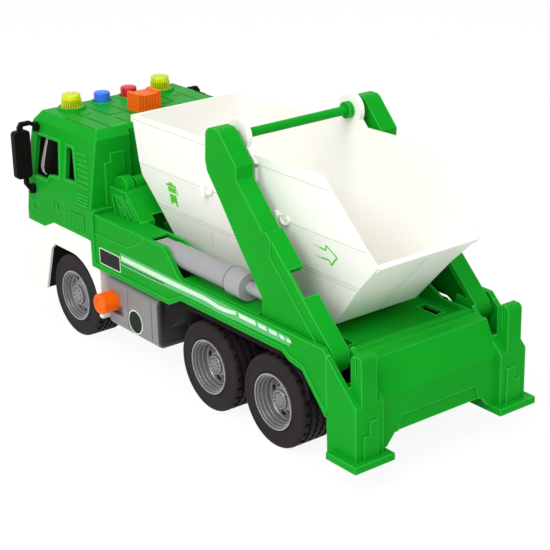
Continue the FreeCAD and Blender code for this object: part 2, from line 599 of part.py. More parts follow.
def skirt(name, side):
    """Side skirt with a front flange, a lip round its lower edge and the wall that hides the cylinder's front."""
    body = newBody(f"skirt_{name}")
    low = [("skirtFrontY", "skirtLowZ"), ("archStepY - 12.4", "skirtLowZ"), ("archStepY", "skirtArchZ"),
           ("archEndY", "skirtArchZ"), ("archEndY + 5.8", "skirtArchZ - 3.2"),
           ("archEndY + 16.5", "skirtArchZ - 5.1"), ("towerFrontY", "towerFootZ")]
    outline = low + [
        ("towerFrontY", "skirtTopZ - 2.8"), ("towerFrontY - 3", "skirtTopZ"), ("wallFootY", "skirtTopZ"),
        ("wallHeadY", "wallTopZ"), ("skirtFrontY", "wallTopZ")]
    pad(body, "YZ_Plane", [outline], "skirtIn", "bodyHalf", side)
    soften(body, "Fillet", "wallRound", along("X", ("wallFootY", "skirtTopZ"), ("wallHeadY", "wallTopZ")))
    lip = low + [(y, f"{z} + lipTall") for y, z in reversed(low)]
    pad(body, "YZ_Plane", [lip], "bodyHalf - 0.1", "bodyHalf + skirtLip", side)
    flange = box("skirtFrontY", "skirtFrontY + flangeDeep", "coverTopZ", "wallTopZ + flangeRise")
    pad(body, "YZ_Plane", [flange], "boardOut + glassPlay", "bodyHalf + skirtLip", side)
    rim = box("skirtFrontY", "skirtFrontY + flangeDeep", "skirtLowZ", "coverTopZ + 0.1")
    pad(body, "YZ_Plane", [rim], "bodyHalf - 0.1", "bodyHalf + skirtLip", side)
    soften(body, "Fillet", "flangeRound", along("Y", (f"{side} * (bodyHalf + skirtLip)", "wallTopZ + flangeRise")))
    recess = [("skirtFrontY + flangeDeep", "skirtTopZ + 3.7"), ("jackY - 22", "skirtTopZ + 4.6"),
              ("jackY - 8.5", "skirtTopZ + 11.4"), ("jackY - 4", "wallTopZ + 1"),
              ("skirtFrontY + flangeDeep", "wallTopZ + 1")]
    pocket(body, "YZ_Plane", [recess], "bodyHalf - grooveDeep", "bodyHalf + 1", side)


def troughWall(name, side):
    """Wall between deck and trough, with the ledge, the cover and the cylinder's front pin."""
    body = newBody(f"trough_wall_{name}")
    outline = [
        ("skirtFrontY", "deckTopZ"), ("skirtFrontY", "coverTopZ"), ("wallHeadY - 4.8", "coverTopZ"),
        ("wallHeadY + 4.6", "coverTopZ - 3"), ("wallFootY", "skirtTopZ"), ("archEndY", "skirtTopZ"),
        ("crestStartY", "crestZ"), ("towerFrontY", "crestZ"),
        ("towerFrontY", "guardTopZ"), ("notchY", "guardTopZ"), ("notchY", "deckTopZ")]
    pad(body, "YZ_Plane", [outline], "deckHalf", "troughIn", side)
    soften(body, "Fillet", "wallRound", along("X", ("wallFootY", "skirtTopZ")))
    pocket(body, "YZ_Plane", [("armPivotY", "armPivotZ", "armPin + shaftPlay")], "deckHalf - 1", "troughIn + 1", side)
    ledge = box("wallFootY", "notchY", "skirtTopZ - ledgeThick", "skirtTopZ")
    cover = box("skirtFrontY", "coverRearY", "coverTopZ - coverThick", "coverTopZ")
    pad(body, "YZ_Plane", [ledge, cover, ("jackY", "jackZ", "pinRadius")], "troughIn", "skirtIn", side)


def rearPanel():
    """Ridged crest, shelf, slope and upright face behind the deck."""
    body = newBody("rear_panel")
    outline = [
        ("crestFrontY", "guardTopZ"), ("crestFrontY", "deckTopZ"), ("crestFrontY + 2.2", "crestZ"),
        ("crestFrontY + 4.4", "crestZ"), ("crestFrontY + 5.4", "crestZ - ridgeTall"),
        ("crestFrontY + 7.6", "crestZ - ridgeTall"), ("crestFrontY + 8.6", "crestZ"),
        ("crestFrontY + 10.8", "crestZ"), ("crestFrontY + 11.8", "crestZ - ridgeTall"),
        ("shelfRearY", "crestZ - ridgeTall"), ("panelRearY", "panelFootZ"), ("panelRearY", "footTopZ"),
        ("panelRearY - panelWall", "footTopZ"), ("panelRearY - panelWall", "panelFootZ"),
        ("shelfRearY - panelWall", "crestZ - 4"), ("crestFrontY + 4", "crestZ - 4"),
        ("crestFrontY + 3", "guardTopZ")]
    pad(body, "YZ_Plane", [outline], "-deckHalf", "deckHalf")
    arch = [("1.3 - footIn", "footLowZ"), ("1.3 - footIn", "footTopZ"), ("6.7 - footIn", "panelArchZ"),
            ("footIn - 6.7", "panelArchZ"), ("footIn - 1.3", "footTopZ"), ("footIn - 1.3", "footLowZ")]
    pocket(body, "XZ_Plane", [arch], "panelRearY - panelWall - 1", "panelRearY + 1")
    recess = [("9 - footIn", "panelArchZ"), ("11.5 - footIn", "panelArchZ + 8.2"),
              ("footIn - 11.5", "panelArchZ + 8.2"), ("footIn - 9", "panelArchZ")]
    pocket(body, "XZ_Plane", [recess], "panelRearY - plateProud", "panelRearY + 1")


def stabiliser(name, side):
    """Rear tower with its two-layer post, slot for the arm, stepped plate and foot."""
    body = newBody(f"stabiliser_{name}")
    outline = [("towerFrontY", "footLowZ"), ("towerFrontY", "skirtTopZ - 2.8"), ("towerRearY", "towerTopZ"),
               ("towerRearY", "footLowZ")]
    pad(body, "YZ_Plane", [outline], "deckHalf", "bodyHalf", side)
    slot = box("towerFrontY - 1", "slotRearY", "slotFloorZ", "crestZ + 20")
    pocket(body, "YZ_Plane", [slot], "troughIn + 0.6", "skirtIn", side)
    postIn = "armOut + 0.1 - postWidth"
    postOut = "armOut + 0.1"
    post = box("postFrontY", "towerRearY", "towerTopZ - 4", "postTopZ")
    pad(body, "YZ_Plane", [post], postIn, postOut, side)
    soften(body, "Fillet", "postRound", along("X", ("postFrontY", "postTopZ"), ("towerRearY", "postTopZ")))
    seam = box("postFrontY + 4", "postFrontY + 4.8", "skirtTopZ - 10", "postTopZ + 1")
    pocket(body, "YZ_Plane", [seam], f"{postIn} - 1", f"{postIn} + 0.8", side)
    pocket(body, "YZ_Plane", [seam], f"{postOut} - 0.8", f"{postOut} + 1", side)
    plate = [("deckHalf + 4", "footTopZ - 1"), ("deckHalf + 13.8", "footTopZ - 1"), ("deckHalf + 13.8", "footTopZ + 12.7"),
             ("deckHalf + 9.8", "footTopZ + 12.7"), ("deckHalf + 9.8", "footTopZ + 20.4"),
             ("deckHalf + 4.2", "footTopZ + 20.4")]
    pad(body, "XZ_Plane", [flip(plate, side)], "towerRearY - 0.1", "towerRearY + plateProud")
    foot = box(f"{side} * footIn", f"{side} * footOut", "towerFrontY + footFront", "towerRearY + footRear")
    pad(body, "XY_Plane", [foot], "footLowZ", "footTopZ")


def headboard():
    """Two ribbed blocks behind the cab, joined by a low sill, each with humps on its top."""
    body = newBody("headboard")
    foot = [("boardFrontY", "deckTopZ"), ("boardFrontY", "boardTopZ"), ("boardEdgeY", "boardTopZ"),
            ("boardRearY", "coverTopZ"), ("boardRearY", "deckTopZ")]
    pad(body, "YZ_Plane", [foot], "-deckHalf", "deckHalf")
    gap = box("boardFrontY - 1", "boardRearY + 1", "deckTopZ + 6", "boardTopZ + 1")
    pocket(body, "YZ_Plane", [gap], "-boardIn", "boardIn")
    head = foot[1:4] + [("boardFrontY", "coverTopZ")]
    ribs = []
    for step in range(1, 6):
        start = f"boardRearY - {step} * ribPitch"
        ribs.append([(start, "coverTopZ + 0.6"), (f"{start} - 11", "coverTopZ + 11.6"),
                     (f"{start} - 11.9", "coverTopZ + 11.6"), (f"{start} - 0.9", "coverTopZ + 0.6")])
    notch = box("boardRearY - 14", "boardRearY + 1", "deckTopZ + 6", "coverTopZ + 2.7")
    for side in (1, -1):
        pad(body, "YZ_Plane", [head], "deckHalf - 0.1", "boardOut", side)
        pad(body, "YZ_Plane", ribs, "boardOut - 0.1", "boardOut + grooveDeep", side)
        pocket(body, "YZ_Plane", [notch], "boardIn - 1", "boardNotch", side)
        hump = "boardOut - humpInset"
        pad(body, "YZ_Plane", [("humpY", "boardTopZ", "humpRadius")], f"{hump} - humpWidth", hump, side)
        pad(body, "YZ_Plane", [("humpY", "boardTopZ", "humpRadius - 1.7")], "boardIn + 6", "boardIn + 14", side)


def cabShell():
    """Hollow cab with leaning sides, window openings, door lines, louvres and a recessed rear."""
    body = newBody("cab_shell")
    profile = [
        ("cabFrontY", "cabLowZ"), ("cabFrontY", "cabWaistZ - 6"), ("screenFootY", "cabWaistZ - 1.6"),
        ("screenTopY", "browZ"), ("roofFrontY", "cabRoofZ"), ("cabRearY - roofRound", "cabRoofZ"),
        ("cabRearY", "cabRoofZ - roofRound"), ("cabRearY", "cabSillZ"), ("cabFrontY + 35", "cabSillZ"),
        ("cabFrontY + 23", "cabLowZ")]
    pad(body, "YZ_Plane", [profile], "-cabHalf", "cabHalf")
    beyond = [("cabHalf", "cabWaistZ"), ("eavesHalf", "cabEavesZ"), ("roofHalf", "cabRoofZ"),
              ("roofHalf", "cabRoofZ + 1"), ("cabHalf + 1", "cabRoofZ + 1"), ("cabHalf + 1", "cabWaistZ")]
    pocket(body, "XZ_Plane", [flip(beyond, side) for side in (1, -1)], "cabFrontY - 1", "cabRearY + 1")
    shell(body, "cabWall", lambda face: face.BoundBox.ZMax < worth("cabSillZ") + 0.1)
    slab = box("-recessHalf - cabWall", "recessHalf + cabWall", "cabWaistZ - 4", "cabRoofZ - roofRound")
    pad(body, "XZ_Plane", [slab], "cabRearY - recessDeep - cabWall", "cabRearY - 0.1")
    recess = box("-recessHalf", "recessHalf", "cabWaistZ", "cabRoofZ + 1")
    pocket(body, "XZ_Plane", [recess], "cabRearY - recessDeep", "cabRearY + 1")
    screen = [("-screenHalf", "cabWaistZ + 4"), ("screenHalf", "cabWaistZ + 4"), ("screenHalf - 3", "browZ - 3"),
              ("3 - screenHalf", "browZ - 3")]
    pocket(body, "XZ_Plane", [screen], "cabFrontY", "cabFrontY + 16")
    panelLow = "(wallTopZ + flangeRise + 0.4)"
    panels = [("recessHalf + 5", panelLow), ("troughIn + 5.1", panelLow), ("troughIn + 5.1", "coverTopZ + 30"),
              ("troughIn + 0.8", "coverTopZ + 30"), ("troughIn + 0.8", "coverTopZ + 35.5"),
              ("recessHalf + 5", "coverTopZ + 35.5")]
    pad(body, "XZ_Plane", [flip(panels, side) for side in (1, -1)], "cabRearY - 0.1", "cabRearY + panelProud")
    lines = [box(f"{x} - grooveWide", x, front, "cabRearY - 6") for x, front in (
        ("eavesHalf - 15", "cabFrontY + 34"), ("eavesHalf - 28.5", "cabFrontY + 27"),
        ("grooveWide - eavesHalf + 15", "cabFrontY + 34"), ("grooveWide - eavesHalf + 28.5", "cabFrontY + 27"))]
    pocket(body, "XY_Plane", lines, "cabRoofZ - grooveDeep", "cabRoofZ + 1")
    lean = {"lift": "cabWaistZ", "lean": "cabLean / windowTall"}
    doorFrontY = "(cabFrontY + windowPillar)"
    smallRearY = "(cabRearY - rearPillar)"
    smallFrontY = f"({smallRearY} - smallWindow)"
    doorRearY = f"({smallFrontY} - doorPillar)"
    door = [(doorFrontY, "windowLow"), (f"{doorFrontY} + 1", "windowHigh"), (f"{doorRearY} - 3.6", "windowHigh + 0.5"),
            (doorRearY, "windowLow + 5.4"), (f"{doorRearY} - 11.8", "windowLow + 3.7"),
            (f"{doorRearY} - 14.2", "windowLow")]
    small = [(smallFrontY, "windowLow + 5.6"), (f"{smallFrontY} - 1.1", "windowHigh - 0.1"),
             (f"{smallRearY} - 6.4", "windowHigh - 0.1"), (smallRearY, "windowLow + 6.2")]
    doorLip = [(f"{doorFrontY} - lipWidth", "windowLow - lipWidth"),
               (f"{doorFrontY} + 1 - lipWidth", "windowHigh + lipWidth"),
               (f"{doorRearY} - 3.6 + lipWidth", "windowHigh + 0.5 + lipWidth"),
               (f"{doorRearY} + lipWidth", "windowLow + 5.4 - lipWidth"),
               (f"{doorRearY} - 11.1", "windowLow + 3.7 - lipWidth"), (f"{doorRearY} - 13.5", "windowLow - lipWidth")]
    smallLip = [(f"{smallFrontY} - lipWidth", "windowLow + 5.6 - lipWidth"),
                (f"{smallFrontY} - 1.1 - lipWidth", "windowHigh - 0.1 + lipWidth"),
                (f"{smallRearY} - 6.4 + lipWidth", "windowHigh - 0.1 + lipWidth"),
                (f"{smallRearY} + lipWidth", "windowLow + 6.2 - lipWidth")]
    sided = [pad(body, "YZ_Plane", [doorLip, smallLip], "cabHalf - 0.3", "cabHalf + lipProud", **lean),
             pocket(body, "YZ_Plane", [door, small], "cabHalf - cabWall - 2", "cabHalf + 2", **lean)]
    louvreRearY = "(cabRearY - louvreBack)"
    louvres = [box(f"{louvreRearY} - louvreLong - {0.8 * step}", f"{louvreRearY} - {0.8 * step}",
                   f"12 + {step} * louvrePitch", f"13.6 + {step} * louvrePitch") for step in range(7)]
    ribs = [box(f"{louvreRearY} - louvreLong", louvreRearY, f"{1.4 + 2 * step}", f"{2.3 + 2 * step}")
            for step in range(4)]
    sided.append(pad(body, "YZ_Plane", louvres + ribs, "cabHalf - 0.3", "cabHalf + lipProud", **lean))
    waist = box("screenFootY + 3", "cabRearY - 4.6", "cabWaistZ - grooveWide", "cabWaistZ")
    doorLine = box("cabRearY - 32.6", "cabRearY - 31.9", "cabSillZ + 1", "cabWaistZ - grooveWide - 0.6")
    handle = box("cabRearY - 44.3", "cabRearY - 36.3", "cabWaistZ - 9", "cabWaistZ - 3.5")
    lamp = box("cabRearY - 70.2", "cabRearY - 62", "cabWaistZ - 15.3", "cabWaistZ - 11.3")
    panel = box("cabRearY - 24.2", "cabRearY - 7", "cabSillZ + 2.4", "cabWaistZ - 4")
    sided.append(pocket(body, "YZ_Plane", [waist, doorLine, handle, lamp, panel], "cabHalf - grooveDeep",
                        "cabHalf + 1"))
    field = box("cabRearY - 22.4", "cabRearY - 8.8", "cabSillZ + 4", "cabWaistZ - 5.6")
    grip = box("cabRearY - 41.2", "cabRearY - 39.6", "cabWaistZ - 8.2", "cabWaistZ - 4.3")
    strips = [box("cabFrontY + 5", "cabFrontY + 10.6", "cabLowZ + 1", "cabWaistZ - 3"),
              box("cabRearY - 4", "cabRearY", "cabSillZ", "cabWaistZ - 1")]
    sided.append(pad(body, "YZ_Plane", [field, grip] + strips, "cabHalf - cabWall + 0.1", "cabHalf + 0.3"))
    for front, low, high in (("cabFrontY", "cabLowZ - 1", "cabWaistZ - 1.6"),
                             ("screenFootY", "cabWaistZ - 1.6", "cabRoofZ + 1")):
        corner = [("cabHalf - cabRound", front), ("cabHalf", f"{front} + cabRound"), ("cabHalf + 3", f"{front} + cabRound"),
                  ("cabHalf + 3", f"{front} - 4"), ("cabHalf - cabRound", f"{front} - 4")]
        sided.append(pocket(body, "XY_Plane", [corner], low, high))
    sided[-1].UseCustomVector = True
    sided[-1].setExpression("Direction.x", bound("-cabLean / windowTall"))
    sided[-1].setExpression("Direction.y", bound("screenLean / (browZ - cabWaistZ + 1.6)"))
    sided[-1].setExpression("Direction.z", "1")
    mirrored(body, sided)


def cabGlazing():
    """One smoked liner behind all the windows."""
    body = newBody("cab_glazing")
    gap = "(cabWall + glassPlay + 0.05)"
    low = "(cabWaistZ + 1.2)"
    high = "(browZ - 1.5)"

    def frontAt(z):
        return f"screenFootY + screenLean * ({z} - cabWaistZ + 1.6) / (browZ - cabWaistZ + 1.6)"

    def halfAt(z):
        return f"cabHalf - cabLean * ({z} - cabWaistZ) / windowTall"

    rear = "cabRearY - recessDeep - cabWall - glassPlay"
    profile = [(f"{frontAt(low)} + {gap}", low), (rear, low), (rear, high), (f"{frontAt(high)} + {gap}", high)]
    pad(body, "YZ_Plane", [profile], "-cabHalf", "cabHalf")
    beyond = [(f"{halfAt(low)} - {gap}", low), (f"{halfAt(high)} - {gap}", high), ("cabHalf + 1", high),
              ("cabHalf + 1", low)]
    pocket(body, "XZ_Plane", [flip(beyond, side) for side in (1, -1)], "cabFrontY - 1", "cabRearY + 1")
    soften(body, "Chamfer", "1", lambda edge: edge.BoundBox.ZLength > 20)
    shell(body, "glassWall", lambda face: face.BoundBox.ZLength < 0.1)


def cabLower():
    """White bumper, steps and wheel arches below the cab."""
    body = newBody("cab_lower")
    outline = [
        ("bumperFrontY", "bumperLowZ + 4"), ("bumperFrontY", "cabLowZ - 12"), ("cabFrontY", "cabLowZ"),
        ("cabFrontY + 23", "cabLowZ"), ("cabFrontY + 35", "cabSillZ"), ("cabRearY", "cabSillZ"),
        ("cabRearY", "skirtLowZ - 0.5"), ("bumperRearY", "skirtLowZ - 0.5"), ("bumperRearY", "bumperLowZ"),
        ("bumperFrontY + 4", "bumperLowZ")]
    pad(body, "YZ_Plane", [outline], "-cabHalf", "cabHalf")
    soften(body, "Fillet", "bumperRound", along("Z", ("cabHalf", "bumperFrontY"), ("-cabHalf", "bumperFrontY")))
    room = [("bumperFrontY + 6.5", "bumperLowZ - 1"), ("bumperRearY - cabWall", "bumperLowZ - 1"),
            ("bumperRearY - cabWall", "skirtLowZ - 3"), ("cabRearY - cabWall", "skirtLowZ - 3"),
            ("cabRearY - cabWall", "cabSillZ + 1"), ("bumperFrontY + 9.4", "cabSillZ + 1"),
            ("bumperFrontY + 6.5", "noseTopZ")]
    pocket(body, "YZ_Plane", [room], "-cabHalf + cabWall", "cabHalf - cabWall")
    reach = "frontAxleY + wheelRadius + archGap"
    start = "frontAxleY - archReach"
    arch = [(start, "bumperLowZ - 1"), (f"{start} + archLean", "archTopZ - 4"), (f"{start} + archLean + 5", "archTopZ"),
            ("frontAxleY", "archTopZ"), ("frontAxleY", "wheelRadius"), (reach, "wheelRadius"),
            (reach, "bumperLowZ - 1")]
    pocket(body, "YZ_Plane", [arch], "-cabHalf - 1", "cabHalf + 1")
    pocket(body, "YZ_Plane", [("frontAxleY", "wheelRadius", "wheelRadius + archGap")], "-cabHalf - 1", "cabHalf + 1")
    tray = [("frontAxleY", "bumperLowZ - 1"), ("bumperRearY + 1", "bumperLowZ - 1"), ("bumperRearY + 1", "skirtLowZ"),
            ("cabRearY", "skirtLowZ"), ("cabRearY", "noseTopZ"), ("frontAxleY", "noseTopZ")]
    pocket(body, "YZ_Plane", [tray], "-baseHalf", "baseHalf")
    lamps = [box(f"{side} * lampX - lampHalf - glassPlay", f"{side} * lampX + lampHalf + glassPlay",
                 "lampLowZ - glassPlay", "lampTopZ + glassPlay") for side in (1, -1)]
    pocket(body, "XZ_Plane", lamps, "bumperFrontY - 1", "bumperFrontY + lampDepth")


def grille():
    """Slatted grille on the cab's front."""
    body = newBody("grille")
    plate = box("-grilleHalf", "grilleHalf", "cabLowZ + 2", "cabWaistZ - 7.4")
    pad(body, "XZ_Plane", [plate], "cabFrontY - 2", "cabFrontY")
    slats = [box("3 - grilleHalf", "grilleHalf - 3", f"cabLowZ + 3.4 + {step} * slatPitch",
                 f"cabLowZ + 5 + {step} * slatPitch") for step in range(4)]
    pocket(body, "XZ_Plane", slats, "cabFrontY - 3", "cabFrontY - 0.8")


def headlamps():
    """Lamp lenses set into the bumper."""
    body = newBody("headlamps")
    lenses = [box(f"{side} * lampX - lampHalf", f"{side} * lampX + lampHalf", "lampLowZ", "lampTopZ")
              for side in (1, -1)]
    pad(body, "XZ_Plane", lenses, "bumperFrontY", "bumperFrontY + lampDepth")


def mirror(name, side):
    """Tall mirror housing on two bent arms with their knuckles."""
    body = newBody(f"mirror_{name}")
    housing = box(f"{side} * mirrorIn", f"{side} * mirrorOut", "mirrorLowZ", "mirrorTopZ")
    pad(body, "XZ_Plane", [housing], "mirrorFrontY", "mirrorRearY")
    soften(body, "Fillet", "mirrorRound", along(
        "Y", (f"{side} * mirrorIn", "mirrorLowZ"), (f"{side} * mirrorOut", "mirrorLowZ"),
        (f"{side} * mirrorIn", "mirrorTopZ"), (f"{side} * mirrorOut", "mirrorTopZ")))
    upper = "cabHalf - cabLean * ({} - cabWaistZ) / windowTall + 0.05"
    topFoot = "(mirrorTopZ - 1.5)"
    arms = [[("cabHalf + 0.05", "cabWaistZ - 2.4"), ("mirrorIn + 2", "cabWaistZ - 1.4"), ("mirrorIn + 5", "cabWaistZ + 3"),
             ("mirrorIn + 5", "mirrorLowZ + 0.5"), ("mirrorIn + 2.6", "mirrorLowZ + 0.5"),
             ("mirrorIn + 2.2", "cabWaistZ + 3"), ("cabHalf + 0.05", "cabWaistZ")],
            [(upper.format(topFoot), topFoot), (upper.format(topFoot + " + 2.6"), f"{topFoot} + 2.6"),
             ("mirrorIn - 1.6", "mirrorTopZ + 5"), ("mirrorIn + 5", "mirrorTopZ + 5"), ("mirrorIn + 7", "mirrorTopZ + 2"),
             ("mirrorIn + 7", "mirrorTopZ - 0.5"), ("mirrorIn + 4.4", "mirrorTopZ - 0.5"),
             ("mirrorIn + 3.6", "mirrorTopZ + 2.4"), ("mirrorIn - 1", "mirrorTopZ + 2.4")]]
    pad(body, "XZ_Plane", [flip(outline, side) for outline in arms], "mirrorFrontY + 0.8", "mirrorRearY - 1.2")
    middleY = "(mirrorFrontY + mirrorDepth / 2 - 0.2)"
    for x, low in ((f"{side} * (cabHalf + knuckleRadius + 0.05)", "cabWaistZ - 3.4"),
                   (f"{side} * ({upper.format('(mirrorTopZ - 3)')} + knuckleRadius)", "mirrorTopZ - 2.2")):
        pad(body, "XY_Plane", [(x, middleY, "knuckleRadius")], low, f"{low} + knuckleTall")


def beacon(name, side):
    """Beacon on its ring."""
    body = newBody(f"beacon_{name}", x=f"{side} * beaconX", y="beaconY", z="cabRoofZ")
    revolve(body, [[(0, 0), ("beaconRadius + ringWidth", 0), ("beaconRadius + ringWidth", "ringTall"),
                    ("beaconRadius", "ringTall"), ("beaconRadius", "beaconTall - 1.5"),
                    ("beaconRadius - 1.5", "beaconTall"), (0, "beaconTall")]], "Z_Axis", "XZ_Plane")


def roundButton(name, side):
    """Round button with a bevelled rim."""
    body = newBody(f"button_{name}", x=f"{side} * buttonX", y="buttonY", z="cabRoofZ")
    revolve(body, [[(0, 0), ("buttonRadius", 0), ("buttonRadius", "buttonTall - 0.8"),
                    ("buttonRadius - 0.8", "buttonTall"), (0, "buttonTall")]], "Z_Axis", "XZ_Plane")


def squareButton():
    """Square button with raised corners and grooved sides."""
    body = newBody("button_square", y="hornRearY", z="cabRoofZ")
    pad(body, "XY_Plane", [box("-hornHalf", "hornHalf", "-hornDepth", "0")], "0", "hornTall")
    dish = [("1 - hornHalf", "hornTall + 1"), ("3 - hornHalf", "hornTall - 1.2"), ("hornHalf - 3", "hornTall - 1.2"),
            ("hornHalf - 1", "hornTall + 1")]
    pocket(body, "XZ_Plane", [dish], "-hornDepth - 1", "1")
    grooves = [box(f"{2.2 * step - 0.4}", f"{2.2 * step + 0.4}", "-0.5", "1") for step in range(-3, 4)]
    pocket(body, "XY_Plane", grooves, "0.8", "hornTall - 1.6")
    flutes = [box("hornHalf - 0.5", "hornHalf + 1", f"{2.1 * step - 0.4} - hornDepth / 2",
                  f"{2.1 * step + 0.4} - hornDepth / 2") for step in range(-2, 3)]
    pocket(body, "XY_Plane", flutes, "0.8", "hornTall - 1.6")


def sideTank(name, side):
    """Tank beside the chassis tray with two strap grooves, and on the left the lever's slot."""
    body = newBody(f"side_tank_{name}")
    pad(body, "YZ_Plane", [box("tankFrontY", "tankRearY", "tankLowZ", "tankTopZ")], "baseHalf", "tankOut", side)
    soften(body, "Fillet", "tankRound", along(
        "Y", (f"{side} * tankOut", "tankLowZ"), (f"{side} * tankOut", "tankTopZ")))
    straps = [box("tankFrontY + strapFront", "tankFrontY + strapFront + strapGroove", "tankLowZ - 1", "tankTopZ + 1"),
              box("tankRearY - strapRear", "tankRearY - strapRear + strapGroove", "tankLowZ - 1", "tankTopZ + 1")]
    pocket(body, "YZ_Plane", straps, "tankOut - 0.7", "tankOut + 1", side)
    if side > 0:
        slot = box("knobY - 4.4", "knobY + 9.5", "knobZ - 8.4", "knobZ - 2")
        pocket(body, "YZ_Plane", [slot], "tankOut - 3", "tankOut + 1", side)


def leverKnob():
    """Round lever knob standing out of the left tank's slot, with a ring sunk into its end."""
    body = newBody("lever_knob", x="tankOut", y="knobY", z="knobZ")
    revolve(body, [[("0.05", 0), ("0.05", "knobRadius"), ("knobReach - 0.8", "knobRadius"),
                    ("knobReach", "knobRadius - 0.8"), ("knobReach", "knobRadius - 2"),
                    ("knobReach - 0.8", "knobRadius - 2.4"), ("knobReach - 0.8", 0)]])


def mudguard(name, side):
    """Guard over the rear wheels, under the skirt."""
    body = newBody(f"mudguard_{name}")
    under = "guardTopZ - guardThick"
    outline = [
        ("guardFrontY", "guardLowZ"), ("guardFrontY", "guardTopZ - 6"), ("archStepY", "guardTopZ"),
        ("archEndY", "guardTopZ"), ("archEndY + 6", "guardTopZ - 3.2"), ("guardRearY - 2", "guardTopZ - 12"),
        ("guardRearY", "guardLowZ"), ("guardRearY - guardLeg", "guardLowZ"),
        ("guardRearY - guardLeg - 3", "guardTopZ - 12"), ("archEndY", under), ("archStepY", under),
        ("guardFrontY + 5", "guardLowZ")]
    pad(body, "YZ_Plane", [outline], "baseHalf", "skirtIn", side)
    soften(body, "Fillet", "guardRound", along("X", ("archEndY", under), ("archStepY", under)))


def axle(name, y, width, dish):
    """Steel shaft with a dished rim and a tyre at each end."""
    shaft = newBody(f"axle_{name}", y=y, z="wheelRadius")
    revolve(shaft, [[("hubDeep + 1 - tyreFace", 0), ("tyreFace - hubDeep - 1", 0),
                     ("tyreFace - hubDeep - 1", "shaftRadius"), ("hubDeep + 1 - tyreFace", "shaftRadius")]])
    for label, side in sides:
        def at(depth):
            return f"{side} * (tyreFace - ({depth}))"
        rim = newBody(f"rim_{name}_{label}", y=y, z="wheelRadius")
        revolve(rim, [[
            (at("hubDeep + 1"), 0), (at("hubDeep"), 0), (at("hubDeep"), "hubRadius"), (at(dish), "hubRadius"),
            (at(dish), "beadRadius - 4.4"), (at("2.4"), "beadRadius - 3"), (at("2.4"), "beadRadius - 1.4"),
            (at("-0.5"), "beadRadius"), (at(width), "beadRadius"),
            (at(width), "shaftRadius"), (at("hubDeep + 1"), "shaftRadius")]])
        tyre = newBody(f"tyre_{name}_{label}", y=y, z="wheelRadius")
        revolve(tyre, [[
            (at("0"), "beadRadius"), (at("0"), "wheelRadius - tyreShoulder"), (at("2"), "wheelRadius"),
            (at(f"{width} - 2"), "wheelRadius"), (at(width), "wheelRadius - tyreShoulder"),
            (at(width), "beadRadius")]])


def arm(name, side):
    """Arm of outer plate and rear flange, with a stepped band, a gap in the flange and its pivot pin."""
    body = newBody(f"arm_{name}")
    endY = "(armPivotY + armEnd * sin(armSlope))"
    endZ = "(armPivotZ + armEnd * cos(armSlope))"
    outline = [
        ("barY - 8.7", "barZ - 12.3"), ("barY - 7.2", "barZ + 6.9"), ("barY + 3.8", "barZ + 6.6"),
        ("barY + 19", "barZ - 9.8"), ("barY + 18.6", "barZ - 17.1"), ("barY + 40.5", "barZ - 40.1"),
        ("barY + 42.8", "barZ - 39.5"), (endY, endZ), ("armPivotY", "armPivotZ"), ("armPivotY", "armPivotZ - armEnd"),
        ("armPivotY - 49.2", "armPivotZ + 7.4"), ("armPivotY - 49.2", "armPivotZ + 18.4"),
        ("barY + 20.4", "barZ - 54.2"), ("barY + 3.7", "barZ - 31.7"), ("barY - 7.2", "barZ - 18.1")]
    pad(body, "YZ_Plane", [outline], "armIn", "armOut", side)
    soften(body, "Fillet", "armRound", along("X", ("barY - 7.2", "barZ + 6.9"), ("barY + 3.8", "barZ + 6.6")))
    pad(body, "YZ_Plane", [("armPivotY", "armPivotZ", "armEnd")], "armIn", "armOut", side)
    hollow = [
        ("barY + 12", "barZ - 17.1"), ("barY + 36", "barZ - 40.1"), (f"{endY} - armFlange * 1.45", endZ),
        ("armPivotY - 7", "armPivotZ + 7"), ("armPivotY - 9.5", "armPivotZ - 12"),
        ("armPivotY - 60", "armPivotZ - 2"), ("armPivotY - 60", "armPivotZ + 30"), ("barY - 20", "barZ - 25")]
    gap = [("armPivotY - 33", "armPivotZ + 33.6"), ("armPivotY - 24", "armPivotZ + 44.5"),
           ("armPivotY - 11.5", "armPivotZ + 33.2"), ("armPivotY - 21", "armPivotZ + 22")]
    for outline in (hollow, gap):
        pocket(body, "YZ_Plane", [outline], "armIn - 1", "armOut - armPlate", side)
    band = [("armPivotY - 41.4", "armPivotZ + 43"), ("armPivotY - 5.4", "armPivotZ + 7.7"),
            ("armPivotY + 3", "armPivotZ - 1.4"), ("armPivotY + 14", "armPivotZ + 6"), ("armPivotY - 40", "armPivotZ + 60")]
    pocket(body, "YZ_Plane", [band], "armOut - armStep", "armOut + 1", side)
    pad(body, "YZ_Plane", [("armPivotY", "armPivotZ", "armPin")], "deckHalf + glassPlay", "armOut - armStep", side)


def liftBar():
    """Bar between the arms, with a collar inside each container ear."""
    body = newBody("lift_bar", y="barY", z="barZ")
    outer = "(earIn - collarGap)"
    inner = f"({outer} - collarThick)"
    revolve(body, [[
        ("-armIn", 0), ("armIn", 0), ("armIn", "barRadius"), (outer, "barRadius"), (outer, "collarRadius"),
        (inner, "collarRadius"), (inner, "barRadius"), (f"-{inner}", "barRadius"), (f"-{inner}", "collarRadius"),
        (f"-{outer}", "collarRadius"), (f"-{outer}", "barRadius"), ("-armIn", "barRadius")]])


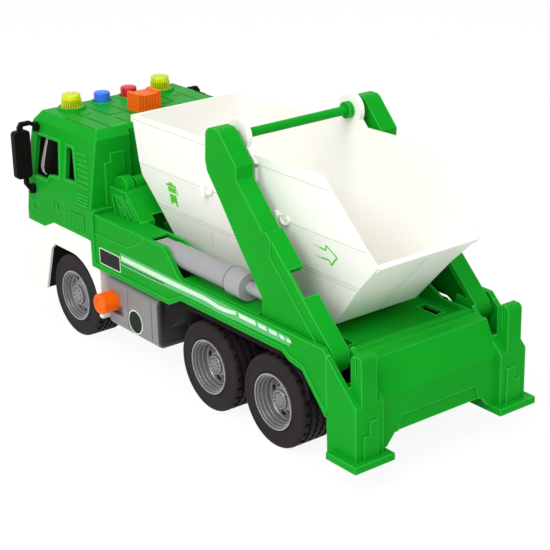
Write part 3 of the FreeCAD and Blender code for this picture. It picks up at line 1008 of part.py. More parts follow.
def cylinder(name, side):
    """Barrel on its front pin, and the rod that slides in it."""
    barrel = newBody(f"barrel_{name}", x=f"{side} * jackX", y="jackY", z="jackZ")
    end = "(barrelSetback + barrelLength)"
    revolve(barrel, [[
        (0, "barrelSetback"), ("jackRadius - 1.5", "barrelSetback"), ("jackRadius", "barrelSetback + 2"),
        ("jackRadius", f"{end} - glandLength"), ("glandRadius", f"{end} - glandLength"),
        ("glandRadius", end), (0, end)]], "Y_Axis")
    clevis = [("-1", "-eyeRadius"), ("barrelSetback + 1", "-eyeRadius"), ("barrelSetback + 1", "eyeRadius"),
              ("-1", "eyeRadius"), ("-eyeRadius", "eyeRadius * 0.6"), ("-eyeRadius", "-eyeRadius * 0.6")]
    pad(barrel, "YZ_Plane", [clevis], "-clevisHalf", "clevisHalf")
    pocket(barrel, "YZ_Plane", [("0", "0", "pinRadius + rodPlay")], "-clevisHalf - 1", "clevisHalf + 1")
    pocket(barrel, "XZ_Plane", [("0", "0", "rodRadius + rodPlay")], "barrelSetback + rodInset - 2", f"{end} + 1")
    rod = newBody(f"rod_{name}", x=f"{side} * jackX", y="rodEyeY", z="jackZ")
    pad(rod, "XZ_Plane", [("0", "0", "rodRadius")], "rodStartY - rodEyeY", "-2")
    pad(rod, "YZ_Plane", [("0", "0", "eyeRadius")], "-eyeHalf", "eyeHalf")


def container():
    """Open skip with creased sides, banded rim, side lugs and an ear on each side for the bar."""
    body = newBody("container")
    profile = [
        ("skipFrontY", "skipTopZ - skipRimFall"), ("frontBendY", "frontBendZ"), ("skipFloorFrontY", "skipFloorZ"),
        ("skipFloorRearY", "skipFloorZ"), ("skipLowRearY", "skipLowZ"), ("skipLipY", "skipLipZ"),
        ("skipRimY", "skipTopZ")]
    lipSlope = "lipRun / (skipLipZ - skipLowZ)"
    inside = [
        ("skipFrontY + skipWall", "skipTopZ + 2"), ("frontBendY + skipWall * 0.98", "frontBendZ + skipWall * 0.35"),
        ("skipFloorFrontY + skipWall * 0.52", "skipFloorZ + skipWall"),
        ("skipFloorRearY - skipWall * 0.46", "skipFloorZ + skipWall"),
        ("skipLowRearY - skipWall * 0.74", "skipLowZ + skipWall * 0.68"),
        (f"skipLowRearY - skipWall * 1.42 + (skipTopZ + 2 - skipLowZ) * {lipSlope}", "skipTopZ + 2")]
    room = newBody("container_room")
    for shape, outline, wall in ((body, profile, "0"), (room, inside, "skipWall")):
        pad(shape, "YZ_Plane", [outline], f"{wall} - skipHalfTop", f"skipHalfTop - {wall}")
        beyond = [(f"skipHalfTop - {wall}", "skipTopZ"), (f"skipHalfBend - {wall}", "skipBendZ"),
                  (f"skipHalfLow - {wall}", "skipLowZ"), (f"skipHalfFloor - {wall}", "skipFloorZ"),
                  (f"skipHalfFloor - {wall}", "skipFloorZ - 1"), ("skipHalfTop + 1", "skipFloorZ - 1"),
                  ("skipHalfTop + 1", "skipTopZ")]
        pocket(shape, "XZ_Plane", [flip(beyond, side) for side in (1, -1)], "skipFrontY - 1", "skipLipY + skipLipDrop + 2")
    hollow = body.newObject("PartDesign::Boolean", body.Name + "Hollow")
    hollow.Type = "Cut"
    hollow.setObjects([room])
    frontTopZ = "(skipTopZ - skipRimFall)"
    pad(body, "XZ_Plane", [box("0.1 - skipHalfTop", "skipHalfTop - 0.1", f"{frontTopZ} - rimBand", f"{frontTopZ} - 0.1")],
        "skipFrontY - rimProud", "skipFrontY + 0.6")
    band = [("skipLipY - 0.1", "skipLipZ"), ("skipLipY + rimProud * 0.7", "skipLipZ - rimProud * 0.7"),
            ("skipLipY + rimProud * 0.7 - rimBand * 0.7", "skipLipZ - rimProud * 0.7 - rimBand * 0.7"),
            ("skipLipY - rimBand * 0.7 - 0.2", "skipLipZ - rimBand * 0.7 + 0.2")]
    pad(body, "YZ_Plane", [band], "5 - skipHalfTop", "skipHalfTop - 5")
    ear = [("barY - 17.2", "skipTopZ - 5.4"), ("barY + 15.8", "skipTopZ - 5.4"), ("barY + 8.2", "barZ - 4.6"),
           ("barY", "barZ"), ("barY - 8.2", "barZ - 4.6")]
    lugs = [[(f"barY + {y - 1.8}", f"skipBendZ + {z}"), (f"barY + {y + 1.8}", f"skipBendZ + {z}"),
             (f"barY + {y + 1.8}", f"skipBendZ + {z + 7}"), (f"barY + {y + 0.8}", f"skipBendZ + {z + 9.5}"),
             (f"barY + {y - 0.8}", f"skipBendZ + {z + 9.5}"), (f"barY + {y - 1.8}", f"skipBendZ + {z + 7}")]
            for y, z in ((-37, -4.5), (29, -5))]
    high = [box("barY + 11.2", "barY + 14.8", "skipBendZ + 17.5", "skipBendZ + 25")]
    for side in (1, -1):
        pad(body, "YZ_Plane", [ear], "earIn", "earOut", side)
        pad(body, "YZ_Plane", [("barY", "barZ", "earRadius")], "earIn", "earOut", side)
        pocket(body, "YZ_Plane", [("barY", "barZ", "barRadius + barPlay")], "earIn - 1", "earOut + 1", side)
        pad(body, "YZ_Plane", lugs, "skipHalfBend - 1.2", "skipHalfBend + lugProud", side)
        pad(body, "YZ_Plane", high, "skipHalfTop - 2", "skipHalfTop + 1.2", side)


chassis()
deck()
rearPanel()
headboard()
cabShell()
cabGlazing()
cabLower()
grille()
headlamps()
squareButton()
leverKnob()
for colour, side in (("blue", 1), ("red", -1)):
    roundButton(colour, side)
for name, side in sides:
    skirt(name, side)
    troughWall(name, side)
    stabiliser(name, side)
    mirror(name, side)
    beacon(name, side)
    sideTank(name, side)
    mudguard(name, side)
    arm(name, side)
    cylinder(name, side)
axle("front", "frontAxleY", "steerTyreWidth", "steerDishDeep")
axle("middle", "middleAxleY", "tyreWidth", "dishDeep")
axle("rear", "rearAxleY", "tyreWidth", "dishDeep")
liftBar()
container()

doc.recompute()
for item in doc.Objects:
    if "Invalid" in item.State or "Error" in item.State:
        raise RuntimeError(f"{item.Label} failed: {item.State}")
os.makedirs("parts", exist_ok=True)
nodes = [item for item in doc.Objects if item.TypeId == "PartDesign::Body" and item.Label != "container_room"]
for node in nodes:
    if node.Shape.isNull() or not node.Shape.isValid():
        raise RuntimeError(f"{node.Label} has no valid shape")
for node in nodes:
    node.Shape.exportStep(f"parts/{node.Label}.step")
    reach = node.Shape.BoundBox
    print(f"{node.Label:20s} solids {len(node.Shape.Solids)} volume {node.Shape.Volume:9.0f} "
          f"x {reach.XMin:7.1f} {reach.XMax:7.1f} y {reach.YMin:7.1f} {reach.YMax:7.1f} "
          f"z {reach.ZMin:6.1f} {reach.ZMax:6.1f}")
print(len(nodes), "sub-parts")
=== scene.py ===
import json
import math

import bmesh
import bpy
from mathutils import Matrix, Vector


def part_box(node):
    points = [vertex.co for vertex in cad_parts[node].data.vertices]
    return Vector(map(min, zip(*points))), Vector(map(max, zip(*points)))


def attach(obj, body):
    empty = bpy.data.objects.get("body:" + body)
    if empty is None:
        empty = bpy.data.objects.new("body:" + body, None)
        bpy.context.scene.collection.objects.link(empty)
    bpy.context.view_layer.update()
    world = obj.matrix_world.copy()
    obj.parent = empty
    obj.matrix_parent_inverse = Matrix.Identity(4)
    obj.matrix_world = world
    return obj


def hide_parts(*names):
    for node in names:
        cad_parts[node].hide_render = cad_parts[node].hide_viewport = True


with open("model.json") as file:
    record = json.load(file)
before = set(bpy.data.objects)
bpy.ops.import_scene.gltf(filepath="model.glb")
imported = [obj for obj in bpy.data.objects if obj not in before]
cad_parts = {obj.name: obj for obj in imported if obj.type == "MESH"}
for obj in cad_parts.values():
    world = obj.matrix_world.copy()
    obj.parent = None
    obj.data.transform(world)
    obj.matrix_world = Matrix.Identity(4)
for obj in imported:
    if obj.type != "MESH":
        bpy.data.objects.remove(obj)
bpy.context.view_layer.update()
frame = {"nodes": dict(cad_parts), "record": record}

mm = 0.001   # metres; every size below is in mm unless it says otherwise

# Camera

cameraSetup = {
    "azimuth": 37.66,     # degrees from the truck's tail towards its left side
    "elevation": 21.13,
    "roll": -1.26,
    "distance": 913.3,
    "target": (1.5, 32.0, 67.6),
    "lens": 104.55,
    "sensor": 36,
    "shiftX": -0.0155,
    "shiftY": -0.0053,
}


def placeCamera(setup):
    azimuth = math.radians(setup["azimuth"])
    elevation = math.radians(setup["elevation"])
    roll = math.radians(setup["roll"])
    back = Vector((math.sin(azimuth) * math.cos(elevation), math.cos(azimuth) * math.cos(elevation),
                   math.sin(elevation)))
    right = Vector((0, 0, 1)).cross(back).normalized()
    up = back.cross(right)
    turnedRight = right * math.cos(roll) + up * math.sin(roll)
    turnedUp = up * math.cos(roll) - right * math.sin(roll)
    place = (Vector(setup["target"]) + back * setup["distance"]) * mm
    data = bpy.data.cameras.new("photoCamera")
    data.lens = setup["lens"]
    data.sensor_width = setup["sensor"]
    data.shift_x = setup["shiftX"]
    data.shift_y = setup["shiftY"]
    data.clip_start = 0.01
    camera = bpy.data.objects.new("photoCamera", data)
    bpy.context.scene.collection.objects.link(camera)
    turn = Matrix((turnedRight, turnedUp, back)).transposed().to_4x4()
    camera.matrix_world = Matrix.Translation(place) @ turn
    bpy.context.scene.camera = camera


placeCamera(cameraSetup)
print("camera placed")

# Materials


def newMaterial(name, **sockets):
    material = bpy.data.materials.new(name)
    material.use_nodes = True
    tree = material.node_tree
    shader = tree.nodes["Principled BSDF"]
    labels = {"metal": "Metallic", "rough": "Roughness", "coat": "Coat Weight", "coatRough": "Coat Roughness",
              "clear": "Transmission Weight", "ior": "IOR", "color": "Base Color",
              "subsurface": "Subsurface Weight", "specular": "Specular IOR Level", "alpha": "Alpha"}
    for socket, value in sockets.items():
        shader.inputs[labels[socket]].default_value = value
    return material, tree, shader


def mottled(tree, shader, dark, light, scale, detail=3):   # the colour wanders between two near shades
    coords = tree.nodes.new("ShaderNodeTexCoord")
    noise = tree.nodes.new("ShaderNodeTexNoise")
    noise.inputs["Scale"].default_value = scale
    noise.inputs["Detail"].default_value = detail
    tree.links.new(coords.outputs["Object"], noise.inputs["Vector"])
    ramp = tree.nodes.new("ShaderNodeValToRGB")
    ramp.color_ramp.elements[0].position = 0.3
    ramp.color_ramp.elements[1].position = 0.7
    ramp.color_ramp.elements[0].color = (*dark, 1)
    ramp.color_ramp.elements[1].color = (*light, 1)
    tree.links.new(noise.outputs["Fac"], ramp.inputs["Fac"])
    tree.links.new(ramp.outputs["Color"], shader.inputs["Base Color"])
    return coords, noise


def grained(tree, shader, coords, scale, strength, edge):   # fine moulded grain over softly rounded edges
    grain = tree.nodes.new("ShaderNodeTexNoise")
    grain.inputs["Scale"].default_value = scale
    grain.inputs["Detail"].default_value = 4
    tree.links.new(coords.outputs["Object"], grain.inputs["Vector"])
    bump = tree.nodes.new("ShaderNodeBump")
    bump.inputs["Strength"].default_value = strength
    bump.inputs["Distance"].default_value = 0.0002
    tree.links.new(grain.outputs["Fac"], bump.inputs["Height"])
    if edge:
        rounding = tree.nodes.new("ShaderNodeBevel")
        rounding.samples = 6
        rounding.inputs["Radius"].default_value = edge * mm
        tree.links.new(rounding.outputs["Normal"], bump.inputs["Normal"])
    tree.links.new(bump.outputs["Normal"], shader.inputs["Normal"])


def paintEdgeHighlights(tree, shader, tone, reach, share):   # painted highlight: convex edges get a lighter base colour, standing in for the light that rounded mould edges catch
    near = tree.nodes.new("ShaderNodeAmbientOcclusion")
    near.inside = True
    near.only_local = True
    near.samples = 5
    near.inputs["Distance"].default_value = reach * mm
    span = tree.nodes.new("ShaderNodeMapRange")
    span.inputs["From Min"].default_value = 0.92
    span.inputs["From Max"].default_value = 0.55
    span.inputs["To Min"].default_value = 0.0
    span.inputs["To Max"].default_value = share
    tree.links.new(near.outputs["AO"], span.inputs["Value"])
    mix = tree.nodes.new("ShaderNodeMixRGB")
    mix.inputs["Color2"].default_value = (*tone, 1)
    tree.links.new(span.outputs["Result"], mix.inputs["Fac"])
    tree.links.new(shader.inputs["Base Color"].links[0].from_socket, mix.inputs["Color1"])
    tree.links.new(mix.outputs["Color"], shader.inputs["Base Color"])


def scuffed(tree, shader, noise, low, high):   # gloss that varies as handled plastic does
    span = tree.nodes.new("ShaderNodeMapRange")
    span.inputs["To Min"].default_value = low
    span.inputs["To Max"].default_value = high
    tree.links.new(noise.outputs["Fac"], span.inputs["Value"])
    tree.links.new(span.outputs["Result"], shader.inputs["Roughness"])


def mouldedPlastic(name, dark, light, rough, coat=0.0, edge=0.5, grain=900, strength=0.06, shine=0.4,
                   lit=None, reach=0.7, share=0.6, **more):
    material, tree, shader = newMaterial(name, coat=coat, coatRough=0.15, specular=shine, **more)
    coords, noise = mottled(tree, shader, dark, light, scale=18)
    scuffed(tree, shader, noise, rough - 0.04, rough + 0.05)
    grained(tree, shader, coords, grain, strength, edge)
    if lit:
        paintEdgeHighlights(tree, shader, lit, reach, share)
    return material


def printedInk(name, dark, light, rough=0.3, **more):   # a thin film with no rounded edge
    return mouldedPlastic(name, dark, light, rough, edge=0, grain=2200, **more)


# the colours given for convex edges below are painted highlights, mixed into the base colour there
finishes = {
    "green": mouldedPlastic("greenPlastic", (0.003, 0.3, 0.012), (0.0045, 0.33, 0.016), 0.38, shine=0.05,
                            lit=(0.06, 0.66, 0.1)),
    "white": mouldedPlastic("whitePlastic", (0.88, 0.87, 0.82), (0.91, 0.9, 0.865), 0.36, coat=0.05),
    "skip": mouldedPlastic("skipPlastic", (0.875, 0.865, 0.81), (0.905, 0.895, 0.85), 0.42),
    "grey": mouldedPlastic("greyPlastic", (0.21, 0.202, 0.203), (0.24, 0.231, 0.231), 0.42,
                           lit=(0.5, 0.49, 0.49), share=0.4),
    "rim": mouldedPlastic("rimPlastic", (0.19, 0.182, 0.19), (0.235, 0.225, 0.235), 0.26, edge=0.12, metal=0.5,
                          lit=(0.62, 0.6, 0.63), reach=0.45, share=0.8),
    "dark": mouldedPlastic("darkPlastic", (0.0045, 0.0036, 0.0036), (0.0075, 0.006, 0.006), 0.5, shine=0.06),
    "tyre": mouldedPlastic("tyreRubber", (0.0155, 0.0118, 0.0125), (0.021, 0.0165, 0.0175), 0.62, grain=1500,
                           strength=0.15, edge=0.15, shine=0.12),
    "smoked": mouldedPlastic("smokedPlastic", (0.002, 0.0016, 0.0016), (0.0035, 0.003, 0.003), 0.24, shine=0.02),
    "yellow": mouldedPlastic("yellowLens", (0.86, 0.95, 0.006), (0.9, 0.99, 0.01), 0.12, edge=0, clear=0.4, ior=1.42),
    "blue": mouldedPlastic("bluePlastic", (0.03, 0.165, 0.78), (0.04, 0.19, 0.86), 0.34, shine=0.25),
    "red": mouldedPlastic("redPlastic", (0.55, 0.007, 0.014), (0.62, 0.01, 0.018), 0.34),
    "orange": mouldedPlastic("orangePlastic", (0.98, 0.11, 0.001), (1.0, 0.135, 0.002), 0.4, shine=0.15,
                             lit=(1.0, 0.3, 0.03), share=0.5),
    "lens": mouldedPlastic("lensPlastic", (0.5, 0.52, 0.53), (0.6, 0.62, 0.63), 0.1, coat=0.4),
    "steel": mouldedPlastic("shaftSteel", (0.5, 0.5, 0.51), (0.56, 0.56, 0.57), 0.3, metal=1.0),
}
ownFinishes = {
    "jack": mouldedPlastic("cylinderPlastic", (0.29, 0.285, 0.3), (0.33, 0.325, 0.34), 0.36, coat=0.1),
    "paleInk": printedInk("paleInk", (0.55, 0.76, 0.54), (0.63, 0.82, 0.61)),
    # partly painted sheen: the film's green is paler than the plastic under it, for its own pale tint and for the
    # sheen of its glossy face
    "film": printedInk("filmTintAndSheen", (0.03, 0.43, 0.085), (0.045, 0.47, 0.11), 0.22, coat=0.3),
    # black print, and also the painted shade inside the tray's opening
    "blackInkAndShade": printedInk("blackInkAndShade", (0.007, 0.006, 0.007), (0.011, 0.0095, 0.011), 0.4, shine=0.1),
    "leafInk": printedInk("leafInk", (0.09, 0.55, 0.02), (0.12, 0.62, 0.03), 0.34),
    # painted shade for the container's grooves
    "seamPaintedShade": mouldedPlastic("seamPaintedShade", (0.47, 0.45, 0.39), (0.53, 0.51, 0.45), 0.5, edge=0),
    # painted shade between the beacon lens ribs
    "ribGapPaintedShade": mouldedPlastic("ribGapPaintedShade", (0.1, 0.105, 0.003), (0.14, 0.15, 0.004), 0.3, edge=0),
    # painted shade for the roof's grooves
    "groovePaintedShade": mouldedPlastic("groovePaintedShade", (0.0015, 0.13, 0.004), (0.002, 0.15, 0.005), 0.5, edge=0,
                                  shine=0.05),
    "amber": mouldedPlastic("amberFlange", (0.8, 0.5, 0.01), (0.86, 0.6, 0.015), 0.2, edge=0, clear=0.5, ior=1.42),
    "deepGrey": mouldedPlastic("deepGreyPlastic", (0.034, 0.029, 0.033), (0.042, 0.036, 0.041), 0.46),
}


def dressNodes():
    slotOf = {entry["node"]: entry["material_slot"] for entry in frame["record"]["subparts"]}
    for name, node in frame["nodes"].items():
        material = ownFinishes["jack"] if name.startswith(("barrel", "rod")) else finishes[slotOf[name]]
        node.data.materials.clear()
        node.data.materials.append(material)


dressNodes()
print("CAD pieces dressed")

# Modelling helpers

layAlong = {"X": (0, math.radians(90), 0), "Y": (math.radians(90), 0, 0), "Z": (0, 0, 0)}


def atRest():
    if bpy.context.object and bpy.context.object.mode != "OBJECT":
        bpy.ops.object.mode_set(mode="OBJECT")
    bpy.ops.object.select_all(action="DESELECT")


def openPiece(name):   # names the primitive just added, puts its place in its mesh and opens it for editing
    piece = bpy.context.object
    piece.name = name
    piece.data.name = name
    bpy.ops.object.transform_apply(location=True, rotation=True, scale=True)
    bpy.ops.object.mode_set(mode="EDIT")
    return piece


def addCylinder(segments, radius, depth, place, axis="Z"):
    bpy.ops.mesh.primitive_cylinder_add(vertices=segments, radius=radius * mm, depth=depth * mm,
                                        location=Vector(place) * mm, rotation=layAlong[axis])


def addBlock(size, place, turn=(0, 0, 0)):
    bpy.ops.mesh.primitive_cube_add(size=mm, scale=size, location=Vector(place) * mm, rotation=turn)


def newCylinder(name, segments, radius, depth, place, axis="Z"):
    atRest()
    addCylinder(segments, radius, depth, place, axis)
    return openPiece(name)


def standing(name, segments, radius, tall, foot):   # an upright cylinder on its foot
    return newCylinder(name, segments, radius, tall, Vector(foot) + Vector((0, 0, tall / 2)))


def newBlock(name, size, place):
    atRest()
    addBlock(size, place)
    return openPiece(name)


def pick(piece, kind, wanted):   # kind is VERT, EDGE or FACE; wanted tests one element
    bpy.ops.mesh.select_mode(type=kind)
    bpy.ops.mesh.select_all(action="DESELECT")
    mesh = bmesh.from_edit_mesh(piece.data)
    for item in {"VERT": mesh.verts, "EDGE": mesh.edges, "FACE": mesh.faces}[kind]:
        if wanted(item):
            item.select_set(True)
    bmesh.update_edit_mesh(piece.data)


def pickAll(kind="FACE"):
    bpy.ops.mesh.select_mode(type=kind)
    bpy.ops.mesh.select_all(action="SELECT")


def spanOf(edge, axis):   # how far an edge runs along X, Y or Z
    return abs(edge.verts[0].co["XYZ".index(axis)] - edge.verts[1].co["XYZ".index(axis)]) / mm


def move(x, y, z):
    bpy.ops.transform.translate(value=(x * mm, y * mm, z * mm))


def pull(x, y, z):   # extrudes what is picked
    bpy.ops.mesh.extrude_region_move(TRANSFORM_OT_translate={"value": (x * mm, y * mm, z * mm)})


def swell(height):   # extrudes the picked faces along their normals, inwards when negative
    bpy.ops.mesh.extrude_region_shrink_fatten(TRANSFORM_OT_shrink_fatten={"value": height * mm})


def soften(width, segments=2, affect="EDGES"):
    bpy.ops.mesh.bevel(offset=width * mm, segments=segments, affect=affect)


def stepIn(profile):   # rings (inset, rise) worked into the chosen face
    for inset, rise in profile:
        bpy.ops.mesh.inset(thickness=inset * mm, depth=rise * mm, use_even_offset=True)


def crown(piece, width, segments, profile):   # rounds the rim of the upper face, then works rings into it
    pick(piece, "FACE", lambda face: face.normal.z > 0.9)
    soften(width, segments)
    pick(piece, "FACE", lambda face: face.normal.z > 0.99 and len(face.verts) > 8)
    stepIn(profile)


def closePiece(piece, angle=32):
    pickAll("VERT")
    bpy.ops.mesh.remove_doubles(threshold=0.003 * mm)
    bpy.ops.mesh.normals_make_consistent(inside=False)
    bpy.ops.object.mode_set(mode="OBJECT")
    bpy.ops.object.shade_smooth_by_angle(angle=math.radians(angle))


def finish(piece, material, slot, body, *nodes):
    piece.data.materials.clear()
    piece.data.materials.append(material)
    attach(piece, body)
    if nodes:
        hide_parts(*nodes)


def cutAway(piece):   # takes the object just added out of the piece
    cutter = bpy.context.object
    atRest()
    piece.select_set(True)
    bpy.context.view_layer.objects.active = piece
    modifier = piece.modifiers.new("cut", "BOOLEAN")
    modifier.operation = "DIFFERENCE"
    modifier.solver = "EXACT"
    modifier.object = cutter
    bpy.ops.object.modifier_apply(modifier=modifier.name)
    bpy.data.objects.remove(cutter)


def copied(piece, name, shift=(0, 0, 0), mirrored=False):   # a second one with its own mesh
    atRest()
    piece.select_set(True)
    bpy.context.view_layer.objects.active = piece
    bpy.ops.object.duplicate(linked=False)
    twin = bpy.context.object
    twin.name = name
    twin.data.name = name
    bpy.ops.object.mode_set(mode="EDIT")
    bpy.ops.mesh.select_all(action="SELECT")
    bpy.ops.transform.translate(value=[part * mm for part in shift])
    if mirrored:
        bpy.ops.transform.resize(value=(-1, 1, 1), center_override=(0, 0, 0))
        bpy.ops.mesh.normals_make_consistent(inside=False)
    bpy.ops.object.mode_set(mode="OBJECT")
    return twin


def onBothSides(piece, material, slot, body, *nodes):   # a left piece and its mirrored twin
    twin = copied(piece, piece.name.replace("Left", "Right"), mirrored=True)
    for one in (piece, twin):
        finish(one, material, slot, body, *nodes)


def nodeBox(node):   # lowest corner, highest corner and middle
    low, high = (Vector(corner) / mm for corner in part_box(node))
    return low, high, (low + high) / 2


# Wheels

tyreShape = {
    "segments": 80,
    "shoulder": 1.9,
    "strips": 9,          # across the tread
    "grooves": (1, 3, 5, 7),
    "grooveDeep": 1.1,
    "zigzag": 1.1,
    "lugDeep": 0.9,
    "lugEvery": 3,        # facets
    "wallOuter": [(1.2, 0), (0.25, -0.2)],     # rings of the side wall, from the tread inwards
    "wallSwell": 0.1,
    "wallInner": [(0.3, 0.25), (1.1, 0), (0.4, -0.4), (0.8, -0.3)],
}


def makeTyre(name, node, shape):
    low, high, middle = nodeBox(node)
    radius = (high.z - low.z) / 2
    bead = nodeBox(node.replace("tyre", "rim"))[1].z - middle.z
    tyre = newCylinder(name, shape["segments"], radius, high.x - low.x, middle, "X")
    centre = middle * mm
    tread = ((high.x - low.x) / 2 - shape["shoulder"]) * mm
    strip = 2 * tread / shape["strips"]
    turn = 2 * math.pi / shape["segments"]

    def isCap(face, side):
        return face.normal.x * side > 0.99 and len(face.verts) > 8

    def nearTread(place, slack):
        return (place - centre).yz.length > (radius - slack) * mm

    def facet(place):
        return math.atan2(place.z - centre.z, place.y - centre.y) / turn

    def lane(face):
        across = face.calc_center_median().x - centre.x - shape["zigzag"] * mm / 2
        return round((across + tread - strip / 2) / strip)

    def onTread(face):
        return len(face.verts) == 4 and nearTread(face.calc_center_median(), 0.4)

    pick(tyre, "EDGE", lambda edge: spanOf(edge, "X") < 0.1)
    soften(shape["shoulder"], 4)
    outer, inner = shape["wallOuter"], shape["wallInner"]
    wall = radius - shape["shoulder"] - bead - sum(inset for inset, rise in outer + inner)
    for side in (1, -1):
        pick(tyre, "FACE", lambda face: isCap(face, side))
        stepIn(outer + [(wall, shape["wallSwell"])] + inner)
        bpy.ops.mesh.delete(type="FACE")
    pick(tyre, "EDGE", lambda edge: edge.is_boundary)
    bpy.ops.mesh.bridge_edge_loops()

    pick(tyre, "EDGE", lambda edge: spanOf(edge, "X") * mm > 1.9 * tread and nearTread(edge.verts[0].co, 0.5))
    bpy.ops.mesh.subdivide(number_cuts=shape["strips"] - 1)
    pick(tyre, "VERT", lambda vert: round(facet(vert.co)) % 2 and abs(vert.co.x - centre.x) < 0.95 * tread
         and nearTread(vert.co, 0.5))
    move(shape["zigzag"], 0, 0)
    pick(tyre, "FACE", lambda face: onTread(face) and lane(face) in shape["grooves"])
    swell(-shape["grooveDeep"])
    pick(tyre, "FACE", lambda face: onTread(face) and lane(face) in (0, shape["strips"] - 1)
         and round(facet(face.calc_center_median()) - 0.5) % shape["lugEvery"] == 0)
    swell(-shape["lugDeep"])
    closePiece(tyre, 28)
    return tyre


rimShapes = {
    "rear": {
        "front": [(0.7, 0), (0.12, -1.3), (0.75, 0), (0.12, -1.9), (0.75, 0), (0.12, -2.1), (0.7, 0), (0.3, -2.6),
                  (0.5, -0.5), (0.9, 0.25), (1.6, 0.75), (1.5, 0.85), (1.2, 0.65), (0.9, 0.2), (0.12, 1.0),
                  (0.4, 0.35), (0.7, 0), (0.1, -0.2)],
        "holes": ((-122, 1.9), (-160, 0.95), (6, 1.9), (40, 0.95), (122, 1.9)),     # turn in degrees, radius
        "holeRing": 7.6,
        "bolts": 12,
        "boltRing": 4.1,
    },
    "front": {
        "front": [(0.7, 0), (0.12, -1.1), (0.9, 0), (0.12, -1.5), (0.9, 0), (0.3, -1.9), (0.5, -0.4), (1.0, 0.2),
                  (2.8, 0.7), (1.2, 0.9), (1.0, 0.2), (0.12, 1.3), (0.4, 0.3), (0.7, 0), (0.1, -0.2)],
        "holes": tuple((18 + 36 * step, 1.4) for step in range(10)),
        "holeRing": 10.2,
        "bolts": 10,
        "boltRing": 4.6,
    },
}
rimBack = [(1.2, 0), (0.4, -11.5)]   # the hollow behind the disc
holeSegments = 20


def onRing(middle, ring, turn):   # y and z on a ring round the axle
    angle = math.radians(turn)
    return middle.y + math.sin(angle) * ring, middle.z - math.cos(angle) * ring


def makeRim(name, node, shape, segments=72):
    low, high, middle = nodeBox(node)
    rim = newCylinder(name, segments, (high.z - low.z) / 2, high.x - low.x, middle, "X")
    for side, profile in ((1, shape["front"]), (-1, rimBack)):
        pick(rim, "FACE", lambda face: face.normal.x * side > 0.99)
        stepIn(profile)
    closePiece(rim)
    for turn, size in shape["holes"]:
        atRest()
        addCylinder(holeSegments, size, 40, (middle.x, *onRing(middle, shape["holeRing"], turn)), "X")
        cutAway(rim)
    return rim


shadeShape = {
    "inset": 2.2,        # of the drum inside the rim
    "place": 9.6,        # of the drum from the rim's inner edge
    "thick": 1.6,
    "plugDepth": 1.7,    # below the disc
    "plugLong": 2,
    "boltRadius": 0.45,
    "boltLong": 0.6,
    "play": 0.02,        # of a plug in its hole
}


def makeWheelShade(name, node, rim, wheel, shape):   # painted shade: a black drum behind the holes and black plugs sunk in them stand in for the shade inside the hollow wheel; the bolts on the hub are black too
    low, high, middle = nodeBox(node)
    radius = (high.z - low.z) / 2 - shape["inset"]

    def faceAt(ring):   # how far out the rim stands on that ring
        return max(vert.co.x for vert in rim.data.vertices
                   if abs((vert.co - middle * mm).yz.length - ring * mm) < 1.1 * mm) / mm

    discX, hubX = faceAt(wheel["holeRing"]), faceAt(wheel["boltRing"])
    shade = newCylinder(name, 40, radius, shape["thick"], (low.x + shape["place"], middle.y, middle.z), "X")
    for side in (1, -1):
        pick(shade, "FACE", lambda face: face.normal.x * side > 0.99)
        stepIn([(0.6, 0), (0.3, -0.3), (radius / 3, 0), (0.4, 0.2)])
    for turn, size in wheel["holes"]:
        addCylinder(holeSegments, size - shape["play"], shape["plugLong"],
                    (discX - shape["plugDepth"], *onRing(middle, wheel["holeRing"], turn)), "X")
        soften(0.15, 1)
    bpy.ops.mesh.select_all(action="DESELECT")
    addCylinder(6, shape["boltRadius"], shape["boltLong"], (hubX, middle.y, middle.z + wheel["boltRing"]), "X")
    soften(0.1, 1)
    bpy.ops.mesh.spin(steps=wheel["bolts"], angle=2 * math.pi, dupli=True, center=middle * mm, axis=(1, 0, 0))
    closePiece(shade)
    return shade


def makeWheels():
    for label, wheel, axles in (("front", rimShapes["front"], ("front",)),
                                ("middle", rimShapes["rear"], ("middle", "rear"))):
        tyre = makeTyre(f"{label}TyreLeft", f"tyre_{label}_left", tyreShape)
        rim = makeRim(f"{label}RimLeft", f"rim_{label}_left", wheel)
        shade = makeWheelShade(f"{label}ShadeLeft", f"rim_{label}_left", rim, wheel, shadeShape)
        for axle in axles:
            shift = nodeBox(f"tyre_{axle}_left")[0].y - nodeBox(f"tyre_{label}_left")[0].y
            for side in ("left", "right"):
                for first, kind, slot in ((tyre, "tyre", "tyre"), (rim, "rim", "rim"), (shade, "shade", "dark")):
                    piece = first
                    if (axle, side) != (label, "left"):
                        piece = copied(first, f"{axle}{kind.title()}{side.title()}", (0, shift, 0), side == "right")
                    nodes = () if kind == "shade" else (f"{kind}_{axle}_{side}",)
                    finish(piece, finishes[slot], slot, f"{axle}_wheels", *nodes)


makeWheels()
print("wheels made")

# Beacons and buttons on the roof

beaconShape = {
    "segments": 48,
    "radius": 5.9,
    "lift": 0.4,
    "topRound": 1.5,
    "top": [(0.9, 0.12), (0.5, 0.1), (0.4, -0.25), (1.4, 0.05)],
    "ribProud": 0.45,
    "ribShare": 0.62,      # of the lens, from its foot
    "shadeLineShare": 0.42,
    "shadeLineWide": 0.5,
    "shadeLineDeep": 0.16,
    "shadeLineFoot": 1.9,
}
beaconBulb = {"segments": 24, "radius": 3.4, "tall": 4.4, "lift": 0.6, "flute": 0.5,
              "top": [(0.9, 0), (0.3, -0.9), (0.8, 0), (0.4, 1.0)]}
beaconRing = {"wider": 0.3, "tall": 1.6, "lift": -0.05, "round": 0.6, "top": [(0.9, 0.05), (0.25, -0.7), (0.5, 0)]}
beaconFlange = {"wider": 1.1, "tall": 0.9, "lift": 0.7, "round": 0.25, "top": [(0.5, 0), (0.3, 0.2)]}


def evenFacet(face, count):   # every other facet round an upright cylinder
    turn = math.atan2(face.normal.y, face.normal.x) % (2 * math.pi)
    return abs(face.normal.z) < 0.1 and round(turn / (2 * math.pi) * count - 0.5) % 2 == 0


